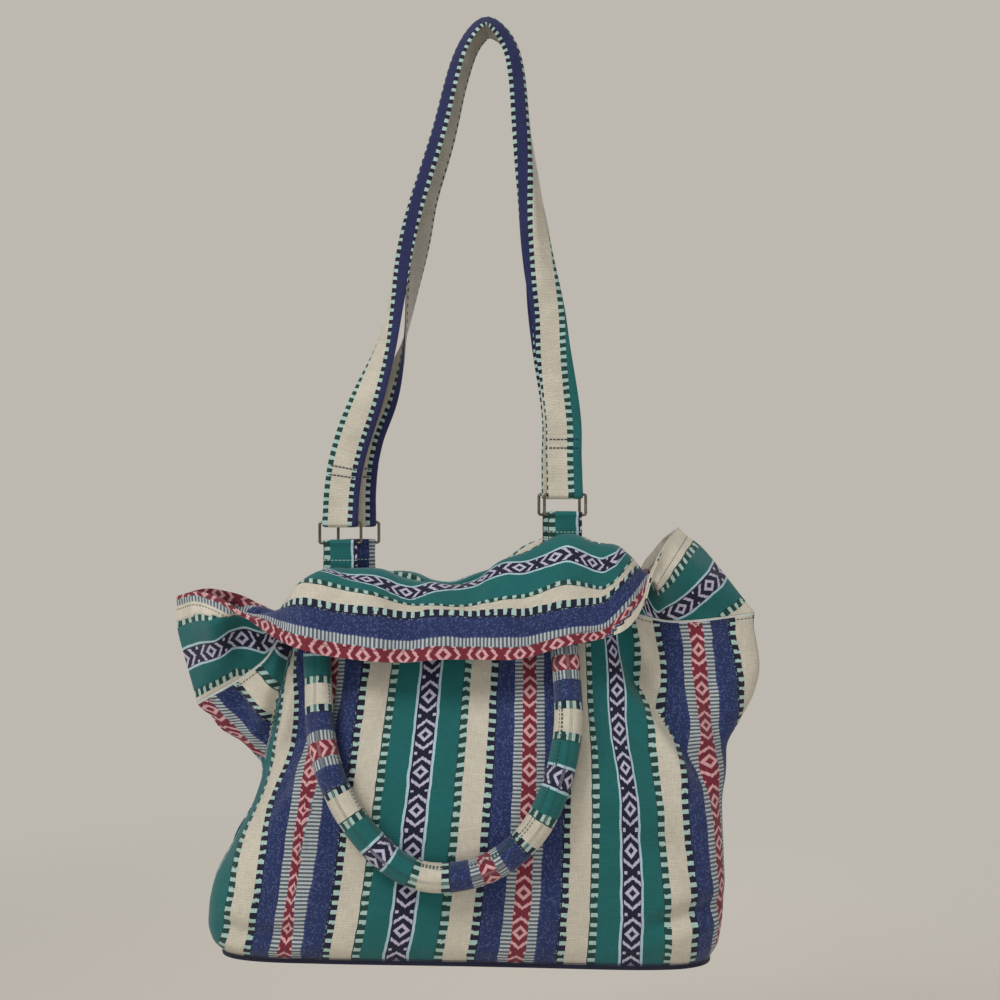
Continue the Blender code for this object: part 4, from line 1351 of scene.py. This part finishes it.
def tab_piece(name, corner):
    """A strip of cloth looped over the bar; its two legs lie against each other below it."""
    cloth_thickness = TAB_THICKNESS * TAB_LAYER_SHARE
    tail = corner["seam"] - TAB_TAIL - corner["bar"]
    leg = TAB_THICKNESS / 2 - cloth_thickness / 2 - 0.0001
    path = tab_path(tail, WIRE / 2 + WIRE_PLAY + cloth_thickness / 2, leg)
    lengths = running_lengths(path)
    points, uv_weave, uv_seam = [], [], []
    centre = Vector((corner["x"], corner["y"], corner["bar"]))
    for side in (1, -1):
        for k, place in enumerate(path):
            before, after = path[max(k - 1, 0)], path[min(k + 1, len(path) - 1)]
            run = (after - before).normalized()
            out = Vector((0, -run.z, run.y))
            for i in range(TAB_COLUMNS + 1):
                share = i / TAB_COLUMNS
                thin = 1 - TAB_CROWN * abs(2 * share - 1) ** 6
                wobble = TAB_WOBBLE * noise(Vector((corner["x"] * 50, share * 3, lengths[k] * 60)))
                x = (share - 0.5) * (TAB_WIDTH - TAB_INSET) + wobble
                points.append(centre + place + out * side * cloth_thickness / 2 * thin + Vector((x, 0, 0)))
                uv_weave.append((TAB_BAND[name] + share * TAB_WIDTH, lengths[k]))
                uv_seam.append((place.z - tail - TAB_TAIL, share * TAB_WIDTH))
    faces = sheet_faces(len(path), TAB_COLUMNS + 1)
    return finished(name + "_tab_cloth", points, faces, {"Weave": uv_weave, "Seam": uv_seam}, [tab_cloth])


for name, corner in CORNERS.items():
    tab = tab_piece(name, corner)
    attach(tab, "bag")
    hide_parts(name + "_tab")
    print(tab.name, len(tab.data.polygons), "faces")

# %% [markdown]
# ## Rings
# The rings are bent from brass wire that has gone dark. Their imported shape is right, so they stay and
# only get a finish: dark in patches, with the metal rubbed bright in spots.
# %% Ring finish
def ring_metal():
    made = bpy.data.materials.new("tarnished_brass")
    made.use_nodes = True
    tree = made.node_tree
    shader = tree.nodes["Principled BSDF"]
    shader.inputs["Metallic"].default_value = 1.0
    place = tree.nodes.new("ShaderNodeTexCoord")
    spots = cloud(tree, place.outputs["Object"], 420.0, 4.0)
    patches = cloud(tree, place.outputs["Object"], 90.0, 3.0)
    colour = blend(tree, spots, dye(78, 72, 64), dye(158, 150, 134))
    colour = blend(tree, patches, dye(44, 40, 36), colour)
    tree.links.new(colour, shader.inputs["Base Color"])
    rough = calc(tree, "MULTIPLY_ADD", patches, 0.35, 0.22)
    tree.links.new(rough, shader.inputs["Roughness"])
    add_relief(tree, shader, spots, 0.0001)
    return made


RING_METAL = ring_metal()
for name in CORNERS:
    ring = frame["nodes"][name + "_ring"]
    ring.data.materials.clear()
    ring.data.materials.append(RING_METAL)
    for polygon in ring.data.polygons:
        polygon.use_smooth = True
print("rings finished:", len(CORNERS))

# %% [markdown]
# ## Where the straps run
# Each strap leaves its ring with a sewn-down loop, rises, turns and lies over the peg, a little tilted. The
# front strap lies on the back one there. Each line gives the middle of a strap, and the turns say which way
# its width points, in quarter turns, at each share of its length.
# %% Shape of the straps
STRAP_WIDTH = 0.029
STRAP_THICKNESS = 0.0024
STRAP_TOP = 0.755
STRAP_TOP_X = 0.017
STRAP_TURNBACK = 0.052
STRAP_TURN = ((0, 0), (0.08, 0), (0.22, 0.9), (0.34, 1.15), (0.46, 1.15), (0.6, 1), (0.74, 1.5),
              (0.84, 1.9), (0.92, 2), (1, 2))
BACK_STRAP_TURN = ((0, 0), (0.08, 0), (0.2, 1.0), (0.32, 1.38), (0.46, 1.3), (0.52, 1.1), (0.6, 1),
                   (0.74, 1.5), (0.84, 1.9), (0.92, 2), (1, 2))
CURL = ((0, 0), (0.12, 0), (0.30, 1), (0.42, 0.85), (0.5, 0.7), (0.58, 0.85), (0.70, 1), (0.84, 0), (1, 0))
LEAN = (0.004, -0.010)
CROWN_TILT = 0.25
CROWN_NEAR = ((0.2, 0), (0.4, 1), (0.6, 1), (0.8, 0))
BAND_SHIFT = ((0, 0.0095), (0.1, 0.0095), (0.26, 0.0145), (0.36, 0.0168), (0.64, 0.0168), (0.82, 0.0080),
              (0.92, 0.0020), (1, 0.0020))
STRAP_STATIONS = 170
CROWN_HALF = 0.025


def ring_bar(corner):
    return Vector((corner["x"], corner["y"], corner["bar"] + RING_DROP))


def front_run(left, right):
    crown = Vector((STRAP_TOP_X, 0, STRAP_TOP - STRAP_THICKNESS / 2))

    def up(foot, share, out, hold):
        return Vector((foot.x + (crown.x - foot.x) * share + out, foot.y * hold,
                       foot.z + (crown.z - foot.z) * share))

    return [
        left, left + Vector((0.002, 0, 0.030)), left + Vector((0.009, 0, 0.064)),
        up(left, 0.34, -0.007, 0.75), up(left, 0.55, -0.018, 0.45), up(left, 0.76, -0.017, 0.2),
        Vector((crown.x - CROWN_HALF, 0, crown.z - CROWN_HALF * 1.05)), crown,
        Vector((crown.x + CROWN_HALF, 0, crown.z - CROWN_HALF * 1.05)),
        up(right, 0.76, 0.019, 0.2), up(right, 0.55, 0.014, 0.45), up(right, 0.34, 0.010, 0.75),
        right + Vector((-0.002, 0, 0.064)), right + Vector((-0.001, 0, 0.030)), right,
    ]


def strap_across(share, turns=STRAP_TURN):
    turn = smooth_between(turns, share) * pi / 2
    return Vector((cos(turn), -sin(turn), CROWN_TILT * smooth_between(CROWN_NEAR, share)))


print("quarter turns of the front strap:", STRAP_TURN[-1][1])

# %% [markdown]
# ## The lines of both straps
# The back strap follows the front one at a distance, which closes to a hair's gap where both lie over the
# peg. At each end the webbing goes round its ring and is sewn down on itself.
# %% Lines of the straps
def strap_lines():
    fl, fr, bl, br = (ring_bar(corner) for corner in CORNERS.values())
    front = spread_through(front_run(fl, fr), STRAP_STATIONS)
    last = len(front) - 1
    close = STRAP_THICKNESS + 3 * GAP
    apart = bl.y - fl.y
    back = []
    for i, point in enumerate(front):
        share = i / last
        along = (front[min(i + 1, last)] - front[max(i - 1, 0)]).normalized()
        across = strap_across(share)
        out = (across - along * across.dot(along)).normalized().cross(along)
        gap = smooth_between(((0, apart), (0.12, apart * 0.9), (0.26, apart * 0.66), (0.35, close),
                              (0.58, close), (0.72, apart * 0.5), (0.86, apart * 0.8), (1, apart)), share)
        shift = smooth_between(((0, bl.x - fl.x), (0.24, 0.002), (0.35, 0), (0.8, 0),
                                (1, br.x - fr.x)), share)
        drop = smooth_between(((0, bl.z - fl.z), (0.1, 0), (0.9, 0), (1, br.z - fr.z)), share)
        back.append(point - out * gap + Vector((shift, 0, drop)))
    return front, back


def strap_stations(path, turns):
    leaf = Vector((0, STRAP_THICKNESS / 2 + GAP / 2, 0))
    loop = WIRE / 2 + WIRE_PLAY + STRAP_THICKNESS / 2
    last = len(path) - 1

    def turned_back(points):
        bar = points[0]
        leaves, length = [], 0.0
        for a, b in zip(points, points[1:]):
            length += (b - a).length
            if length > STRAP_TURNBACK:
                break
            if length > loop * 2.2:
                leaves.append(b + leaf)
        around = [bar + Vector((0, cos(pi * k / 12), -sin(pi * k / 12))) * loop for k in range(13)]
        return list(reversed(leaves)) + around

    stations = [(point, strap_across(0), 0.0) for point in turned_back(path)]
    for i in range(1, last):
        if min((path[i] - path[0]).length, (path[i] - path[-1]).length) < loop * 2.2:
            continue
        share = i / last
        held = smooth_between(((0, 1), (0.10, 1), (0.2, 0), (0.8, 0), (0.9, 1), (1, 1)), share)
        stations.append((path[i] - leaf * held, strap_across(share, turns), share))
    stations += [(point, strap_across(1), 1.0) for point in reversed(turned_back(list(reversed(path))))]
    return stations


FRONT_LINE, BACK_LINE = strap_lines()
print("front strap:", round(running_lengths(FRONT_LINE)[-1], 3), "m ring to ring")

# %% [markdown]
# ## The straps
# A webbing is a thin section swept along its stations. The section has rounded edges, and one edge of the
# front strap is curled over. The face and the underside have their own weave.
# %% Straps
STRAP_SECTION = 20
CURL_START, CURL_WIDE, CURL_ANGLE = 0.0120, 0.007, 1.6
LOOSE_AFTER, LOOSE_REACH, LOOSE_EDGE = 1.6, 0.05, 0.0007


def strap_section(curl, lean):
    """Points along the strap's width, across and inwards, and the angle that its curled edge has there."""
    step = STRAP_WIDTH / STRAP_SECTION
    across, inwards = lean - STRAP_WIDTH / 2, 0.0
    found = []
    for k in range(STRAP_SECTION + 1):
        share = clamp((k * step - CURL_START) / CURL_WIDE)
        angle = curl * CURL_ANGLE * share * share * (3 - 2 * share)
        found.append((across, inwards, angle))
        across += cos(angle) * step
        inwards += sin(angle) * step
    return found


def strap_piece(name, line, turns, curled):
    stations = strap_stations(line, turns)
    lengths = running_lengths([station[0] for station in stations])
    points, uv_weave, uv_seam = [], [], []
    for i, (middle, across, share) in enumerate(stations):
        before, after = stations[max(i - 1, 0)][0], stations[min(i + 1, len(stations) - 1)][0]
        run = (after - before).normalized()
        wide = (across - run * across.dot(run)).normalized()
        out = wide.cross(run)
        free = min(lengths[i], lengths[-1] - lengths[i])
        loose = clamp((free - STRAP_TURNBACK * LOOSE_AFTER) / LOOSE_REACH)
        edge = LOOSE_EDGE * noise(Vector((lengths[i] * 24, 1.5, 0))) * loose
        curl = smooth_between(CURL, share)
        section = strap_section(curl if curled else 0.0, LEAN[0 if curled else 1] * curl)
        shift = smooth_between(BAND_SHIFT, share)
        ring = [(k, 1) for k in range(STRAP_SECTION + 1)]
        ring += [(k, -1) for k in reversed(range(1, STRAP_SECTION))]
        for k, face in ring:
            w, inwards, angle = section[k]
            width = k / STRAP_SECTION
            thick = 0.5 * STRAP_THICKNESS * (1 - abs(2 * width - 1) ** 8) ** 0.5
            normal = out * cos(angle) + wide * sin(angle)
            points.append(middle + wide * (w + edge) - out * inwards + normal * (thick * face))
            uv_weave.append((width * STRAP_WIDTH + shift, lengths[i]))
            uv_seam.append((free - 2 * STRAP_TURNBACK, width * STRAP_WIDTH))
    count = len(ring)
    faces = tube_faces(len(stations), count, clockwise=True)
    which = [1 if k >= STRAP_SECTION else 0 for k in range(count)] * (len(stations) - 1) + [1, 1]
    made = finished(name, points, faces, {"Weave": uv_weave, "Seam": uv_seam},
                    [strap_face, strap_back], which, 1.2)
    return made, lengths[-1]


for name, line, turns, slot in (("front_strap", FRONT_LINE, STRAP_TURN, "cream_cotton"),
                                ("back_strap", BACK_LINE, BACK_STRAP_TURN, "blue_cotton")):
    strap, length = strap_piece(name + "_webbing", line, turns, name == "front_strap")
    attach(strap, "straps")
    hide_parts(name)
    print(strap.name, round(length, 3), "m with its loops,", len(strap.data.polygons), "faces")

# %% [markdown]
# ## Rolled handles
# A rolled handle is a strip of the same cloth rolled round a soft core and sewn along its length, so the
# bands run round it like rings. It is a tube along the handle's line, a little uneven, with the sewn edge
# showing as a raised line that wanders slightly round the roll.
# %% Handles
HANDLE_AROUND = 28
LUMP, LUMP_MOST = 0.0007, 0.0004
RIDGE, RIDGE_WIDTH = 0.0005, 0.16
SEAM_ANGLE, SEAM_WANDER = 0.9, 0.3
HANDLE_BAND, HANDLE_HIDDEN, HANDLE_BAND_SCALE = 0.012, 0.025, 0.95


def handle_piece(name, back):
    path = HANDLE_LINE
    lengths = running_lengths(path)
    points, uv_weave, uv_seam = [], [], []
    for i, centre in enumerate(path):
        before, after = path[max(i - 1, 0)], path[min(i + 1, len(path) - 1)]
        run = (after - before).normalized()
        outward = (Vector((0, -1, 0)) - run * -run.y).normalized()
        sideways = outward.cross(run)
        for k in range(HANDLE_AROUND):
            angle = 2 * pi * k / HANDLE_AROUND
            seed = 5 if back else 0
            lump = LUMP * noise(Vector((lengths[i] * 30, cos(angle) * 0.8, sin(angle) * 0.8 + seed)))
            seam = SEAM_ANGLE + SEAM_WANDER * sin(lengths[i] * 12)
            near = abs((angle - seam + pi) % (2 * pi) - pi)
            radius = HANDLE_RADIUS - LUMP_MOST + min(lump, LUMP_MOST) + RIDGE * bell(near, RIDGE_WIDTH)
            point = centre + (outward * cos(angle) + sideways * sin(angle)) * radius
            if back:
                point.y = -point.y
            points.append(point)
            uv_weave.append((HANDLE_BAND + (lengths[i] - HANDLE_HIDDEN) * HANDLE_BAND_SCALE,
                             k * HANDLE_RADIUS * 2 * pi / HANDLE_AROUND))
            uv_seam.append((near * HANDLE_RADIUS, lengths[i]))
    faces = tube_faces(len(path), HANDLE_AROUND)
    if back:
        faces = mirrored(faces)
    return finished(name, points, faces, {"Weave": uv_weave, "Seam": uv_seam}, [handle_cloth])


for side in ("front", "back"):
    handle = handle_piece(side + "_handle_roll", side == "back")
    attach(handle, "bag")
    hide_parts(side + "_handle")
    print(handle.name, len(handle.data.polygons), "faces")

# %% [markdown]
# ## Floor and background
# The bag hangs well clear of a plain pale floor. The floor fades out with distance into a pale world, so
# that no horizon cuts through the view, and the world shows that tone only to the eye and in the metal.
# The world lights the bag softly.
# %% Floor and world
PALE = dye(196, 190, 180)
SHOWN = dye(190, 185, 176)
FLOOR_HEIGHT = -1.05
FLOOR_REACH = 4.0
FLOOR_FADES = (1.3, 2.1)
WORLD_LIGHT = 0.38


def floor():
    data = bpy.data.meshes.new("floor")
    ends = ((-1, -1), (1, -1), (1, 1), (-1, 1))
    data.from_pydata([(x * FLOOR_REACH, y * FLOOR_REACH, FLOOR_HEIGHT) for x, y in ends], [], [(0, 1, 2, 3)])
    made = bpy.data.objects.new("floor", data)
    bpy.context.scene.collection.objects.link(made)
    finish = bpy.data.materials.new("pale_floor")
    finish.use_nodes = True
    tree = finish.node_tree
    shader = tree.nodes["Principled BSDF"]
    shader.inputs["Base Color"].default_value = PALE
    shader.inputs["Roughness"].default_value = 1.0
    place = tree.nodes.new("ShaderNodeTexCoord")
    length = tree.nodes.new("ShaderNodeVectorMath")
    length.operation = "LENGTH"
    tree.links.new(place.outputs["Object"], length.inputs[0])
    solid = tree.nodes.new("ShaderNodeMapRange")
    solid.inputs["From Min"].default_value = FLOOR_FADES[0]
    solid.inputs["From Max"].default_value = FLOOR_FADES[1]
    solid.inputs["To Min"].default_value = 1.0
    solid.inputs["To Max"].default_value = 0.0
    solid.interpolation_type = "SMOOTHSTEP"
    tree.links.new(length.outputs["Value"], solid.inputs["Value"])
    tree.links.new(solid.outputs[0], shader.inputs["Alpha"])
    data.materials.append(finish)
    return made


floor()

world = bpy.data.worlds.new("pale_room")
world.use_nodes = True
bpy.context.scene.world = world
tree = world.node_tree
tree.nodes.clear()
seen = tree.nodes.new("ShaderNodeLightPath")
lit = tree.nodes.new("ShaderNodeBackground")
lit.inputs["Color"].default_value = (1.0, 0.99, 0.97, 1.0)
lit.inputs["Strength"].default_value = WORLD_LIGHT
shown = tree.nodes.new("ShaderNodeBackground")
shown.inputs["Color"].default_value = SHOWN
shown.inputs["Strength"].default_value = 1.0
mixed = tree.nodes.new("ShaderNodeMixShader")
out = tree.nodes.new("ShaderNodeOutputWorld")
rays = either(tree, seen.outputs["Is Camera Ray"], seen.outputs["Is Glossy Ray"],
              seen.outputs["Is Transmission Ray"])
tree.links.new(rays, mixed.inputs[0])
tree.links.new(lit.outputs[0], mixed.inputs[1])
tree.links.new(shown.outputs[0], mixed.inputs[2])
tree.links.new(mixed.outputs[0], out.inputs[0])
print("world:", world.name)

# %% [markdown]
# ## Lamps
# Soft light falls from the upper left, as from a window, with a weak fill from the right, a low one that
# lights the folds under the flap, and one behind for the back views. Their size keeps the shadows of the
# flap and the handle soft, and their level lets colours render as written.
# %% Lamps
TARGET = Vector((0.0, 0.0, 0.22)) - HOOK


def lamp(name, place, size, power):
    data = bpy.data.lights.new(name, "AREA")
    data.shape = "DISK"
    data.size = size
    data.energy = power
    made = bpy.data.objects.new(name, data)
    made.location = place
    made.rotation_euler = (TARGET - Vector(place)).to_track_quat("-Z", "Y").to_euler()
    bpy.context.scene.collection.objects.link(made)
    return made


lamps = [
    lamp("window", (-1.3, -1.5, 1.5), 1.1, 46.0),
    lamp("fill", (1.9, -1.4, 0.1), 1.6, 8.0),
    lamp("low", (-0.5, -2.0, -1.0), 1.6, 12.0),
    lamp("behind", (0.6, 2.0, 0.8), 1.6, 22.0),
]
print("lamps:", [item.name for item in lamps])

# %% [markdown]
# ## Camera
# The photograph was taken straight on, from a little over a metre, at the height of the bag's mouth.
# %% Camera
CAMERA_PLACE = Vector((0.027, -1.05, 0.360))
CAMERA_ANGLE = 42.7
camera_data = bpy.data.cameras.new("camera")
camera_data.sensor_width = 36.0
camera_data.angle = CAMERA_ANGLE * pi / 180
camera = bpy.data.objects.new("camera", camera_data)
camera.location = CAMERA_PLACE - HOOK
camera.rotation_euler = (pi / 2, 0, 0)
bpy.context.scene.collection.objects.link(camera)
bpy.context.scene.camera = camera
bpy.context.scene.view_settings.view_transform = "Standard"
print("camera at", [round(value, 3) for value in camera.location])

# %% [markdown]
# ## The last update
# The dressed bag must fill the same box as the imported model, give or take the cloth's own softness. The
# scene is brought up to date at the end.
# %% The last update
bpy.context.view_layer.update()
